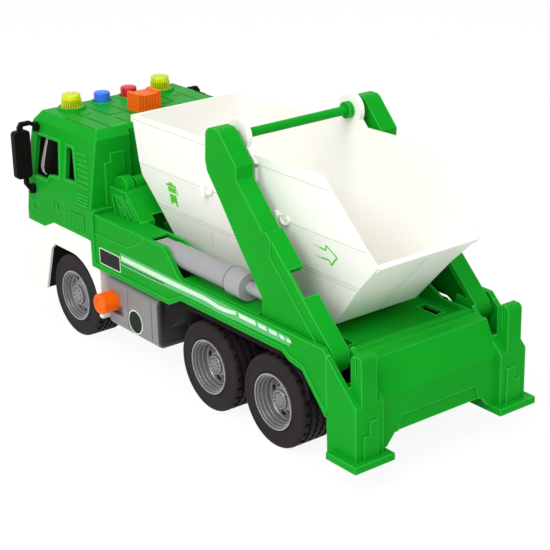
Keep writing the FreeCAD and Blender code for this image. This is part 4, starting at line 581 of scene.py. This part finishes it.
def makeBeacon(side, shape):
    low, high, middle = nodeBox(f"beacon_{side}")
    tall = high.z - low.z
    label = side.title()

    def footAt(lift):
        return middle.x, middle.y, low.z + lift

    lens = standing(f"beaconLens{label}", shape["segments"], shape["radius"], tall - shape["lift"],
                    footAt(shape["lift"]))
    crown(lens, shape["topRound"], 5, shape["top"])
    ribHigh = (low.z + tall * shape["ribShare"]) * mm
    bpy.ops.mesh.select_all(action="SELECT")
    bpy.ops.mesh.bisect(plane_co=(0, 0, ribHigh), plane_no=(0, 0, 1))
    pick(lens, "FACE", lambda face: face.calc_center_median().z < ribHigh and evenFacet(face, shape["segments"]))
    swell(shape["ribProud"])
    closePiece(lens, 30)
    finish(lens, finishes["yellow"], "yellow", "truck", f"beacon_{side}")

    # painted shade: thin olive bars on the lens, between its ribs, stand in for the shade in the grooves there
    shadeLineTall = tall * shape["shadeLineShare"]
    shadeLineMiddle = low.z + shape["shadeLineFoot"] + shadeLineTall / 2
    shadeLines = newBlock(f"beaconSlits{label}", (shape["shadeLineDeep"], shape["shadeLineWide"], shadeLineTall),
                     (middle.x + shape["radius"] + 0.06, middle.y, shadeLineMiddle))
    pick(shadeLines, "VERT", lambda vert: vert.co.z > shadeLineMiddle * mm)
    bpy.ops.transform.resize(value=(1, 0.3, 1))
    bpy.ops.mesh.select_all(action="SELECT")
    bpy.ops.transform.rotate(value=math.pi / shape["segments"], orient_axis="Z", center_override=middle * mm)
    soften(0.04, 1)
    bpy.ops.mesh.spin(steps=shape["segments"] // 2, angle=2 * math.pi, dupli=True, center=middle * mm, axis=(0, 0, 1))
    closePiece(shadeLines)
    finish(shadeLines, ownFinishes["ribGapPaintedShade"], "yellow", "truck")

    bulbShape = beaconBulb
    bulb = standing(f"beaconBulb{label}", bulbShape["segments"], bulbShape["radius"], bulbShape["tall"],
                    footAt(bulbShape["lift"]))
    pick(bulb, "FACE", lambda face: face.normal.z > 0.9)
    stepIn(bulbShape["top"])
    pick(bulb, "FACE", lambda face: evenFacet(face, bulbShape["segments"]))
    swell(-bulbShape["flute"])
    closePiece(bulb)
    finish(bulb, finishes["dark"], "dark", "truck")

    for name, plate, radius, material, slot, segments in (
            ("beaconRing", beaconRing, (high.x - low.x) / 2, finishes["green"], "green", 4),
            ("beaconFlange", beaconFlange, shape["radius"], ownFinishes["amber"], "yellow", 3)):
        disc = standing(f"{name}{label}", 64, radius + plate["wider"], plate["tall"], footAt(plate["lift"]))
        crown(disc, plate["round"], segments, plate["top"])
        closePiece(disc, 40)
        finish(disc, material, slot, "truck")


buttonShape = {
    "segments": 56,
    "sunk": 0.25,
    "wider": 1.1,
    "edge": 1.1,
    "top": [(0.7, 0.12), (1.2, 0.1), (1.2, 0.03)],
    "seatOuter": 7.6,
    "seatInner": 6.0,
    "seatTall": 0.7,
    "seatLift": -0.1,
    "seatRound": 0.3,
}


def makeButton(colour, shape):
    low, high, middle = nodeBox(f"button_{colour}")
    foot = Vector((middle.x, middle.y, low.z))
    cap = standing(f"{colour}Button", shape["segments"], (high.x - low.x) / 2, high.z - low.z - shape["sunk"], foot)
    bpy.ops.mesh.select_all(action="SELECT")
    bpy.ops.transform.resize(value=(shape["wider"], shape["wider"], 1), center_override=middle * mm)
    crown(cap, shape["edge"], 5, shape["top"])
    closePiece(cap, 40)
    finish(cap, finishes[colour], colour, "truck", f"button_{colour}")

    seat = standing(f"{colour}ButtonSeat", shape["segments"], shape["seatOuter"], shape["seatTall"],
                    foot + Vector((0, 0, shape["seatLift"])))
    ledge = shape["seatOuter"] - shape["seatRound"] - shape["seatInner"]
    crown(seat, shape["seatRound"], 3, [(ledge, 0), (0.1, -0.5)])
    closePiece(seat, 40)
    finish(seat, finishes["green"], "green", "truck")

    # painted shade: a black disc under the button shows as a dark ring in the gap between the button and its seat
    gapShade = standing(f"{colour}ButtonGap", shape["segments"], shape["seatInner"] - 0.15, 0.2,
                   foot + Vector((0, 0, 0.02)))
    pick(gapShade, "FACE", lambda face: face.normal.z > 0.9)
    stepIn([(0.3, -0.05), (0.2, 0)])
    closePiece(gapShade, 40)
    finish(gapShade, finishes["dark"], "dark", "truck")


for side in ("left", "right"):
    makeBeacon(side, beaconShape)
for colour in ("blue", "red"):
    makeButton(colour, buttonShape)
print("roof pieces made")

# Printed marks, thin films just off the plastic

skirtFace = 60.06    # outer face of the skirt, with a hair of air
inkLift = 0.06       # of the ink on its film
marks = {
    "film": {"path": [(-48.5, 67.3), (-17, 67.3), (13, 67.4), (36, 67.5), (52, 67.2), (66, 67.3), (90, 67.3),
                      (112, 67.2)],
             "half": (3.9, 3.9, 3.4, 3.5, 3.7, 3.2, 3.0, 2.4), "lift": 0.0, "finish": "film", "slot": "green"},
    "stripe": {"path": [(-48, 68.1), (-17, 68.0), (11, 68.0), (35.7, 68.4), (41, 68.1), (45.5, 67.5), (50, 67.2),
                        (55, 67.3), (60, 67.8), (65.5, 68.6)],
               "half": (1.45, 1.5, 1.45, 1.3, 1.3, 1.3, 1.25, 1.2, 1.1, 1.05), "lift": inkLift, "finish": "paleInk",
               "slot": "white"},
    "pinLine": {"path": [(-48.2, 65.1), (-26, 65.1), (-3.4, 65.2)], "half": (0.3, 0.3, 0.3), "lift": inkLift,
                "finish": "blackInkAndShade", "slot": "dark"},
}
dashShape = {
    "places": ((68.6, 83.4, 1.25), (85.6, 92.6, 1.15), (94.8, 101.6, 1.05), (103.8, 107.8, 0.95),
               (109.6, 113.4, 0.8)),   # start, end and half width
    "height": 68.3,
    "drop": 0.15,        # from one dash to the next
    "slant": -0.9,
}


def makeRibbon(name, path, halves, lift, slant=0.0):   # a strip run along its path by extruding its end edge
    atRest()
    start = Vector((skirtFace + lift, *path[0])) * mm
    bpy.ops.mesh.primitive_plane_add(size=0.2 * mm, location=start, rotation=layAlong["X"])
    ribbon = openPiece(name)
    pick(ribbon, "EDGE", lambda edge: all(vert.co.y < start.y for vert in edge.verts))
    move(0, 0.1, 0)
    bpy.ops.transform.resize(value=(1, 1, halves[0] / 0.1))
    pick(ribbon, "EDGE", lambda edge: all(vert.co.y > start.y + 0.05 * mm for vert in edge.verts))
    move(0, path[1][0] - path[0][0] - 0.1, path[1][1] - path[0][1])
    bpy.ops.transform.resize(value=(1, 1, halves[1] / 0.1))
    for before, after, halfBefore, halfAfter in zip(path[1:], path[2:], halves[1:], halves[2:]):
        pull(0, after[0] - before[0], after[1] - before[1])
        bpy.ops.transform.resize(value=(1, 1, halfAfter / halfBefore))
    if slant:
        top = max(vert.co.z for vert in bmesh.from_edit_mesh(ribbon.data).verts)
        pick(ribbon, "VERT", lambda vert: vert.co.z > top - 0.4 * mm)
        move(0, slant, 0)
    pickAll()
    bpy.ops.mesh.normals_make_consistent(inside=False)
    if next(iter(bmesh.from_edit_mesh(ribbon.data).faces)).normal.x < 0:
        bpy.ops.mesh.flip_normals()
    pull(0.05, 0, 0)
    closePiece(ribbon, 30)
    return ribbon


def printMarks():
    for name, mark in marks.items():
        ribbon = makeRibbon(f"{name}Left", mark["path"], mark["half"], mark["lift"])
        onBothSides(ribbon, ownFinishes[mark["finish"]], mark["slot"], "truck")
    for index, (start, end, half) in enumerate(dashShape["places"]):
        height = dashShape["height"] - index * dashShape["drop"]
        ribbon = makeRibbon(f"dash{index}Left", [(start, height), (end, height)], (half, half), inkLift,
                            dashShape["slant"])
        onBothSides(ribbon, ownFinishes["paleInk"], "white", "truck")


printMarks()

plateShape = {"low": (-72.2, 58.0), "high": (-49.2, 68.4), "border": 0.7, "corner": 1.4}


def makeBlankPlate(shape):   # a pale border with a bare dark field on it
    lowY, lowZ = shape["low"]
    highY, highZ = shape["high"]
    border = shape["border"]
    for name, lift, thick, edge, corner, finishName, slot in (
            ("plateBorderLeft", 0.03, 0.1, 0, shape["corner"], "paleInk", "white"),
            ("blankPlateLeft", 0.1, 0.12, border, shape["corner"] - border / 2, "blackInkAndShade", "dark")):
        piece = newBlock(name, (thick, highY - lowY - 2 * edge, highZ - lowZ - 2 * edge),
                         (skirtFace + lift, (lowY + highY) / 2, (lowZ + highZ) / 2))
        pick(piece, "EDGE", lambda item: spanOf(item, "X") > 0.05)
        soften(corner, 4)
        closePiece(piece)
        onBothSides(piece, ownFinishes[finishName], slot, "truck")


makeBlankPlate(plateShape)

badgeShape = {"place": (-40.1, 28.9), "radius": 7.6, "border": 0.8}


def makeBadge(shape):   # a bare round sign on the tank
    face = nodeBox("side_tank_left")[1].x
    for name, radius, lift, finishName, slot in (
            ("badgeRimLeft", shape["radius"], 0.04, "paleInk", "white"),
            ("badgeFieldLeft", shape["radius"] - shape["border"], 0.1, "blackInkAndShade", "dark")):
        disc = newCylinder(name, 48, radius, 0.12, (face + lift, *shape["place"]), "X")
        pick(disc, "FACE", lambda item: item.normal.x > 0.9)
        stepIn([(0.12, 0.02), (0.3, 0)])
        closePiece(disc)
        onBothSides(disc, ownFinishes[finishName], slot, "truck")


makeBadge(badgeShape)
print("marks made")

# Tank end, behind the rear strap

tankEndShape = {"depth": 1.4, "inset": 0.9, "sunk": 0.05, "corner": 4.0, "edge": 0.5,
                "panel": [(2.2, 0), (0.3, -0.4)]}


def makeTankEnd(shape):
    low, high, middle = nodeBox("side_tank_left")
    wide = high.x - low.x - 2 * shape["inset"]
    tall = high.z - low.z - 2 * shape["inset"]
    end = newBlock("tankEndLeft", (wide, shape["depth"], tall),
                   (middle.x, high.y + shape["depth"] / 2 - shape["sunk"], middle.z))
    pick(end, "EDGE", lambda edge: spanOf(edge, "Y") > 0.5)
    soften(shape["corner"], 6)
    pick(end, "FACE", lambda face: face.normal.y > 0.9)
    soften(shape["edge"], 3)
    pick(end, "FACE", lambda face: face.normal.y > 0.99 and len(face.verts) > 8)
    stepIn(shape["panel"])
    closePiece(end, 40)
    onBothSides(end, ownFinishes["deepGrey"], "dark", "truck")


makeTankEnd(tankEndShape)

# Painted reflection: a grey strip inside the door window stands in for a reflection in its black glass

windowReflection = {
    "path": [(-138.3, 122.6), (-140.7, 113.5), (-142.2, 106.5), (-142.9, 101.4), (-141.2, 98.6), (-137.2, 97.5)],
    "half": (1.2, 1.5, 1.8, 1.9, 1.8, 1.0),
    "flat": 0.35,
    "foot": 55.45,       # from the truck's middle at the level below
    "level": 100.0,
}
cabLean = 0.1548         # of the cab's sides, mm inwards for each mm up


def makeWindowReflection(shape):
    path, half = shape["path"], shape["half"]
    start = (shape["foot"] - cabLean * (path[0][1] - shape["level"]), *path[0])
    reflection = newCylinder("windowTrimLeft", 12, 1.0, 0.2, start)
    pick(reflection, "FACE", lambda face: face.normal.z > 0.9)
    bpy.ops.mesh.delete(type="FACE")
    pick(reflection, "FACE", lambda face: face.normal.z < -0.9)
    bpy.ops.transform.resize(value=(shape["flat"], half[0], 1))
    for (beforeY, beforeZ), (afterY, afterZ), before, after in zip(path, path[1:], half, half[1:]):
        drop = afterZ - beforeZ
        pull(-cabLean * drop, afterY - beforeY, drop)
        bpy.ops.transform.resize(value=(1, after / before, 1))
    closePiece(reflection, 50)
    onBothSides(reflection, finishes["grey"], "grey", "truck")


makeWindowReflection(windowReflection)
print("trim made")

# Raised and cut lines


def makeBars(name, runs, wide, thick, outward):   # straight bars, each from one point to another, in one mesh
    normal = Vector(outward).normalized()
    atRest()
    for index, (start, end) in enumerate(runs):
        start, end = Vector(start), Vector(end)
        along = (end - start).normalized()
        turn = Matrix((along, normal.cross(along), normal)).transposed().to_euler()
        addBlock(((end - start).length, wide, thick), (start + end) / 2, turn)
        if index == 0:
            piece = openPiece(name)
    pick(piece, "EDGE", lambda edge: edge.calc_length() > 1.01 * max(wide, thick) * mm
         and (edge.verts[0].co - edge.verts[1].co).normalized().cross(normal).length > 0.5)
    soften(min(wide, thick) * 0.28)
    closePiece(piece, 50)
    return piece


roofLines = {
    "runs": [((48.2, -122.5), (48.2, -88.0)), ((37.65, -127.0), (37.65, -86.8)), ((24.15, -134.0), (24.15, -111.5)),
             ((24.15, -104.0), (24.15, -88.5)), ((11.5, -130.0), (11.5, -105.0)), ((24.2, -111.2), (18.4, -110.2)),
             ((18.4, -110.2), (14.6, -111.2)), ((35.6, -120.4), (30.4, -121.5))],
    "wide": 1.15,
    "deep": 0.16,
    "bars": [((48.6, -87.2), (24.9, -88.2)), ((37.0, -86.6), (26.0, -86.6))],
    "barWide": 0.9,
    "barTall": 0.6,
    "barLift": 0.1,
}


def layRoofLines(shape):
    top = nodeBox("cab_shell")[1].z
    # painted shade: the darker green lines on the roof stand in for the shade in its grooves; the bars beside them
    # are raised green plastic
    for name, runs, wide, tall, lift, material in (
            ("roofLinesLeft", shape["runs"], shape["wide"], shape["deep"], 0, ownFinishes["groovePaintedShade"]),
            ("roofBarsLeft", shape["bars"], shape["barWide"], shape["barTall"], shape["barLift"], finishes["green"])):
        lines = [((*start, top + lift), (*end, top + lift)) for start, end in runs]
        onBothSides(makeBars(name, lines, wide, tall, (0, 0, 1)), material, "green", "truck")


layRoofLines(roofLines)

blockRibs = {
    "face": 46.6,
    "runs": [((-75.9, 98.0), (-72.4, 84.4)), ((-72.4, 98.2), (-65.2, 84.4)), ((-69.0, 98.6), (-58.0, 84.6)),
             ((-65.4, 99.0), (-51.0, 84.8))],
    "wide": 1.3,
    "proud": 1.0,
}


def makeBlockRibs(shape):
    runs = [((shape["face"], *start), (shape["face"], *end)) for start, end in shape["runs"]]
    ribs = makeBars("blockRibsLeft", runs, shape["wide"], shape["proud"], (1, 0, 0))
    onBothSides(ribs, finishes["green"], "green", "truck")


makeBlockRibs(blockRibs)
print("lines laid")

# Container trim

skipSide = [(68.2, 28.4), (94.3, 32.4), (119.5, 36.7), (152.3, 39.3)]   # height and outer face
skipTrim = {
    "lean": (4.3, 25.2),     # of the side, out and up
    "seamWide": 0.34,
    "seamThick": 0.14,
    "seams": [((-58.6, 119.5), (145.0, 119.5)), ((-46.0, 94.3), (133.0, 94.3)), ((-47.4, 96.2), (134.6, 96.2)),
              ((5.4, 93.6), (5.0, 83.0)), ((-60.2, 146.0), (27.0, 146.0)), ((61.6, 146.0), (118.5, 146.0))],
    "rearSeam": ((0, 112.4, 69.4), (0, 149.4, 108.9)),
    "rearOut": (0, 43.8, -41.0),
    "printLift": 0.05,
    "printThick": 0.08,
    "arrowWide": 1.0,
    "arrow": [(106.6, 111.9), (111.9, 111.5), (112.6, 114.5), (120.4, 109.6), (114.5, 103.7), (113.5, 106.2),
              (106.6, 106.0)],
    "arrowDashes": [((104.4, 112.0), (105.4, 111.95)), ((102.2, 112.1), (102.9, 112.05)),
                    ((104.4, 105.9), (105.4, 105.95)), ((102.2, 105.8), (102.9, 105.85))],
}
binMark = (
    ("binLid", 1.5, [((-33.4, 112.2), (-23.4, 112.2)), ((-30.6, 113.4), (-26.2, 113.4))]),
    ("binTop", 7.8, [((-28.4, 111.0), (-28.4, 107.8))]),
    ("binFoot", 6.8, [((-28.4, 106.6), (-28.4, 101.4))]),
    ("binWheels", 1.7, [((-31.0, 101.6), (-31.0, 99.9)), ((-25.8, 101.6), (-25.8, 99.4))]),
    ("binHandle", 0.9, [((-24.4, 111.0), (-23.2, 109.4)), ((-23.2, 109.4), (-23.6, 107.2))]),
)


def onSkip(y, z, lift=0.0):   # a point just off the container's left side
    for (lowZ, lowX), (highZ, highX) in zip(skipSide, skipSide[1:]):
        if z <= highZ:
            return (lowX + (z - lowZ) / (highZ - lowZ) * (highX - lowX) + lift, y, z)


def trimSkip(shape):
    lean = math.atan2(*shape["lean"])

    def onSide(name, strokes, wide, thick, lift, material, slot):
        runs = [(onSkip(*start, lift), onSkip(*end, lift)) for start, end in strokes]
        piece = makeBars(name, runs, wide, thick, (math.cos(lean), 0, -math.sin(lean)))
        onBothSides(piece, ownFinishes[material], slot, "skip_container")

    # painted shade: thin grey bars along the container's creases stand in for the shade in those grooves
    onSide("skipSeamsLeft", shape["seams"], shape["seamWide"], shape["seamThick"], 0, "seamPaintedShade", "skip")
    piece = makeBars("skipRearSeam", [shape["rearSeam"]], shape["seamWide"], shape["seamThick"], shape["rearOut"])
    finish(piece, ownFinishes["seamPaintedShade"], "skip", "skip_container")
    arrow = list(zip(shape["arrow"], shape["arrow"][1:])) + shape["arrowDashes"]
    for name, wide, strokes in (("skipArrow", shape["arrowWide"], arrow), *binMark):
        onSide(f"{name}Left", strokes, wide, shape["printThick"], shape["printLift"], "leafInk", "green")


trimSkip(skipTrim)

skipHook = {"centres": ((11.6, 121.0), (80.0, 121.0)), "radius": 3.4, "thick": 0.95, "stand": 0.4, "cutAt": 1.6}


def makeHooks(shape):
    for index, place in enumerate(shape["centres"]):
        atRest()
        centre = Vector(onSkip(*place, shape["stand"])) * mm
        bpy.ops.mesh.primitive_torus_add(major_segments=36, minor_segments=14, major_radius=shape["radius"] * mm,
                                         minor_radius=shape["thick"] * mm, location=centre, rotation=layAlong["X"])
        hook = openPiece(f"skipHook{index}Left")
        bpy.ops.mesh.select_all(action="SELECT")
        bpy.ops.mesh.bisect(plane_co=centre + Vector((0, 0, shape["cutAt"] * mm)), plane_no=(0, 0, 1),
                            clear_outer=True, use_fill=True)
        pick(hook, "FACE", lambda face: face.normal.z > 0.9 and len(face.verts) > 6)
        soften(0.25)
        closePiece(hook, 50)
        onBothSides(hook, finishes["skip"], "skip", "skip_container")


makeHooks(skipHook)
print("container trimmed")

# Rounded lips round the side windows

windowLips = {   # outline as places along the truck and up the leaning side, and the radius of its corners
    "doorLip": ([(-149.5, 6.1), (-148.5, 35.1), (-120.0, 35.6), (-116.0, 11.7), (-128.5, 9.8), (-131.0, 6.1)], 1.9),
    "rearLip": ([(-112.0, 11.6), (-113.1, 35.1), (-103.6, 35.1), (-96.5, 12.3)], 2.4),
}
lipShape = {"wide": 1.6, "proud": 0.95, "half": 59.5, "waist": 88.0}


def makeWindowLip(name, outline, corner, shape):
    tilt = math.atan(cabLean)
    waist = shape["waist"]
    atRest()
    bpy.ops.mesh.primitive_circle_add(vertices=len(outline), radius=mm, fill_type="NGON", rotation=layAlong["X"],
                                      location=(shape["half"] * mm, 0, waist * mm))
    lip = openPiece(f"{name}Left")
    starts = [vert.co.copy() for vert in bmesh.from_edit_mesh(lip.data).verts]
    starts.sort(key=lambda start: math.atan2(start.z - waist * mm, start.y))
    middleY, middleUp = (sum(values) / len(outline) for values in zip(*outline))
    wanted = sorted(outline, key=lambda place: math.atan2(place[1] - middleUp, place[0] - middleY))
    for start, (y, up) in zip(starts, wanted):
        place = Vector((shape["half"] - up * math.sin(tilt), y, waist + up * math.cos(tilt))) * mm
        pick(lip, "VERT", lambda vert: (vert.co - start).length < 0.001 * mm)
        bpy.ops.transform.translate(value=place - start)
    bpy.ops.mesh.select_all(action="SELECT")
    soften(corner, 5, "VERTICES")
    pickAll()
    bpy.ops.mesh.inset(thickness=shape["wide"] * mm, use_even_offset=True)
    bpy.ops.mesh.delete(type="FACE")
    bpy.ops.mesh.select_all(action="SELECT")
    bpy.ops.mesh.normals_make_consistent(inside=False)
    pull(shape["proud"] * math.cos(tilt), 0, shape["proud"] * math.sin(tilt))
    closePiece(lip, 40)
    onBothSides(lip, finishes["green"], "green", "truck")


for name, (outline, corner) in windowLips.items():
    makeWindowLip(name, outline, corner, lipShape)
print("window lips made")

# Seam where a cylinder's gland starts

glandSeam = {"y": 51.4, "radius": 8.06, "wide": 0.4}


def makeGlandSeam(shape):
    middle = nodeBox("barrel_left")[2]
    seam = newCylinder("glandSeamLeft", 64, shape["radius"], shape["wide"], (middle.x, shape["y"], middle.z), "Y")
    pick(seam, "FACE", lambda face: abs(face.normal.y) > 0.9)
    stepIn([(0.06, 0.02)])
    closePiece(seam, 40)
    twin = copied(seam, "glandSeamRight", mirrored=True)
    finish(seam, ownFinishes["deepGrey"], "dark", "cylinder_left")
    finish(twin, ownFinishes["deepGrey"], "dark", "cylinder_right")


makeGlandSeam(glandSeam)

archLining = {
    "centre": (-106.4, 26.3),
    "radius": 28.2,
    "foot": 21.6,
    "front": [(-126.2, 54.5), (-131.0, 50.6), (-140.6, 21.6)],
    "wide": (33.5, 58.0),
    "thick": 0.3,
}


def makeArchLining(shape):   # the black inner skin of the front wheel arch
    centreY, centreZ = shape["centre"]
    radius = shape["radius"]
    turns = [math.radians(turn) for turn in range(0, 91, 10)]
    path = [(centreY + radius, shape["foot"])] + [
        (centreY + radius * math.cos(turn), centreZ + radius * math.sin(turn)) for turn in turns] + shape["front"]
    inner, outer = shape["wide"]
    startY, startZ = path[0]
    atRest()
    bpy.ops.mesh.primitive_plane_add(size=mm, location=((inner + outer) / 2 * mm, startY * mm, startZ * mm))
    lining = openPiece("archLiningLeft")
    bpy.ops.mesh.select_all(action="SELECT")
    bpy.ops.transform.resize(value=(outer - inner, 1, 1))
    pick(lining, "VERT", lambda vert: vert.co.y > startY * mm)
    move(0, -0.5, 0)
    pick(lining, "EDGE", lambda edge: all(vert.co.y < (startY - 0.2) * mm for vert in edge.verts))
    move(0, path[1][0] - startY + 0.5, path[1][1] - startZ)
    for (beforeY, beforeZ), (afterY, afterZ) in zip(path[1:], path[2:]):
        pull(0, afterY - beforeY, afterZ - beforeZ)
    pickAll()
    bpy.ops.mesh.normals_make_consistent(inside=False)
    swell(shape["thick"])
    closePiece(lining, 40)
    onBothSides(lining, finishes["dark"], "dark", "truck")


makeArchLining(archLining)

traySlot = {"low": (32.4, 112.6), "high": (37.6, 125.0), "top": 61.75, "deep": 1.0}


def makeTraySlot(shape):   # painted shade: a black block in the tray's recess stands in for the shade inside its opening
    (lowX, lowY), (highX, highY) = shape["low"], shape["high"]
    slot = newBlock("traySlotLeft", (highX - lowX, highY - lowY, shape["deep"]),
                    ((lowX + highX) / 2, (lowY + highY) / 2, shape["top"] - shape["deep"] / 2))
    pick(slot, "FACE", lambda face: face.normal.z > 0.9)
    stepIn([(0.4, 0), (0.2, -0.4)])
    closePiece(slot)
    onBothSides(slot, ownFinishes["blackInkAndShade"], "dark", "truck")


makeTraySlot(traySlot)
print("arches and slots made")

# Head lamps and the screws underneath

lampShape = {"inner": 31.0, "frame": 1.1, "sunk": 0.6, "ribs": 6, "ribWide": 0.8, "ribProud": 0.35, "ribPlay": 0.7,
             "corner": 1.6}


def makeHeadLamps(shape):
    low, high, middle = nodeBox("headlamps")
    wide, tall, deep = high.x - shape["inner"], high.z - low.z, high.y - low.y
    middle.x = (high.x + shape["inner"]) / 2
    lens = newBlock("headLampLeft", (wide, deep, tall), middle)
    pick(lens, "EDGE", lambda edge: spanOf(edge, "Y") > 0.5 * deep)
    soften(shape["corner"], 4)
    pick(lens, "FACE", lambda face: face.normal.y < -0.9)
    stepIn([(shape["frame"], 0), (0.2, -shape["sunk"]), (0.25, 0.1)])
    span = wide - 2 * shape["frame"] - 1.2
    ribTall = tall - 2 * shape["frame"] - 2 * shape["ribPlay"]
    for index in range(shape["ribs"]):
        place = middle.x - span / 2 + span * (index + 0.5) / shape["ribs"]
        addBlock((shape["ribWide"], shape["ribProud"], ribTall), (place, low.y + shape["sunk"] - 0.15, middle.z))
        soften(0.1)
    closePiece(lens)
    onBothSides(lens, finishes["lens"], "lens", "truck", "headlamps")


makeHeadLamps(lampShape)

screwShape = {"places": ((27, -150), (27, -60), (27, 40), (27, 112), (20, -41.5), (20, 4.5)), "radius": 1.9,
              "proud": 0.5, "slot": (2.4, 0.5, 0.6)}


def driveScrews(shape):
    under = nodeBox("chassis")[0].z
    firstX, firstY = shape["places"][0]
    screw = newCylinder("screw0Left", 24, shape["radius"], 2 * shape["proud"], (firstX, firstY, under))
    pick(screw, "FACE", lambda face: face.normal.z < -0.9)
    soften(0.15)
    closePiece(screw)
    for turn in (0, math.radians(90)):   # the cross slot
        atRest()
        addBlock(shape["slot"], (firstX, firstY, under - shape["proud"]), (0, 0, turn))
        cutAway(screw)
    for index, (placeX, placeY) in enumerate(shape["places"][1:], 1):
        twin = copied(screw, f"screw{index}Left", (placeX - firstX, placeY - firstY, 0))
        onBothSides(twin, finishes["steel"], "steel", "truck")
    onBothSides(screw, finishes["steel"], "steel", "truck")


driveScrews(screwShape)
print("lamps and screws made")

# Stage, with its sizes in metres

studio = {
    "white": 1.04,          # strength of the plain white behind the truck
    "floorShare": 0.88,     # of that white in the floor
    "floorSize": 6,
    "sky": 0.55,
    "target": (0, 0, 0.07),
    "lamps": {
        "keyLamp": {"place": (0.9, 0.35, 0.95), "size": 0.9, "power": 11.5},
        "tailLamp": {"place": (0.1, 1.3, 0.6), "size": 0.9, "power": 3.1},
        "topLamp": {"place": (-0.1, 0.0, 1.4), "size": 1.2, "power": 4.6},
    },
}


def mixWhite(tree, plain, output, whiteKind, share):   # a plain white that only the camera and reflections see
    path = tree.nodes.new("ShaderNodeLightPath")
    seen = path.outputs["Is Camera Ray"]
    for ray in ("Is Glossy Ray", "Is Transmission Ray"):
        either = tree.nodes.new("ShaderNodeMath")
        either.operation = "MAXIMUM"
        tree.links.new(seen, either.inputs[0])
        tree.links.new(path.outputs[ray], either.inputs[1])
        seen = either.outputs[0]
    amount = tree.nodes.new("ShaderNodeMath")
    amount.operation = "MULTIPLY"
    amount.inputs[1].default_value = share
    white = tree.nodes.new(whiteKind)
    white.inputs["Strength"].default_value = studio["white"]
    white.inputs["Color"].default_value = (1, 1, 1, 1)
    mix = tree.nodes.new("ShaderNodeMixShader")
    tree.links.new(seen, amount.inputs[0])
    tree.links.new(amount.outputs[0], mix.inputs["Fac"])
    tree.links.new(plain.outputs[0], mix.inputs[1])
    tree.links.new(white.outputs[0], mix.inputs[2])
    tree.links.new(mix.outputs[0], output.inputs["Surface"])


def layFloor():
    atRest()
    bpy.ops.mesh.primitive_plane_add(size=studio["floorSize"], location=(0, 0, 0))
    floor = bpy.context.object
    floor.name = "floor"
    material, tree, shader = newMaterial("paleFloor", rough=0.9, color=(0.86, 0.86, 0.86, 1), specular=0.1)
    mixWhite(tree, shader, tree.nodes["Material Output"], "ShaderNodeEmission", studio["floorShare"])
    floor.data.materials.append(material)


def lightWorld():
    world = bpy.data.worlds.new("studioWorld")
    bpy.context.scene.world = world
    world.use_nodes = True
    tree = world.node_tree
    sky = tree.nodes["Background"]
    sky.inputs["Color"].default_value = (1, 1, 1, 1)
    sky.inputs["Strength"].default_value = studio["sky"]
    mixWhite(tree, sky, tree.nodes["World Output"], "ShaderNodeBackground", 1.0)


def hangLamps():
    for name, lamp in studio["lamps"].items():
        data = bpy.data.lights.new(name, "AREA")
        data.size = lamp["size"]
        data.energy = lamp["power"]
        light = bpy.data.objects.new(name, data)
        bpy.context.scene.collection.objects.link(light)
        light.location = lamp["place"]
        light.rotation_euler = (Vector(studio["target"]) - light.location).to_track_quat("-Z", "Y").to_euler()


layFloor()
lightWorld()
hangLamps()
bpy.context.scene.view_settings.view_transform = "Standard"
print("stage set")
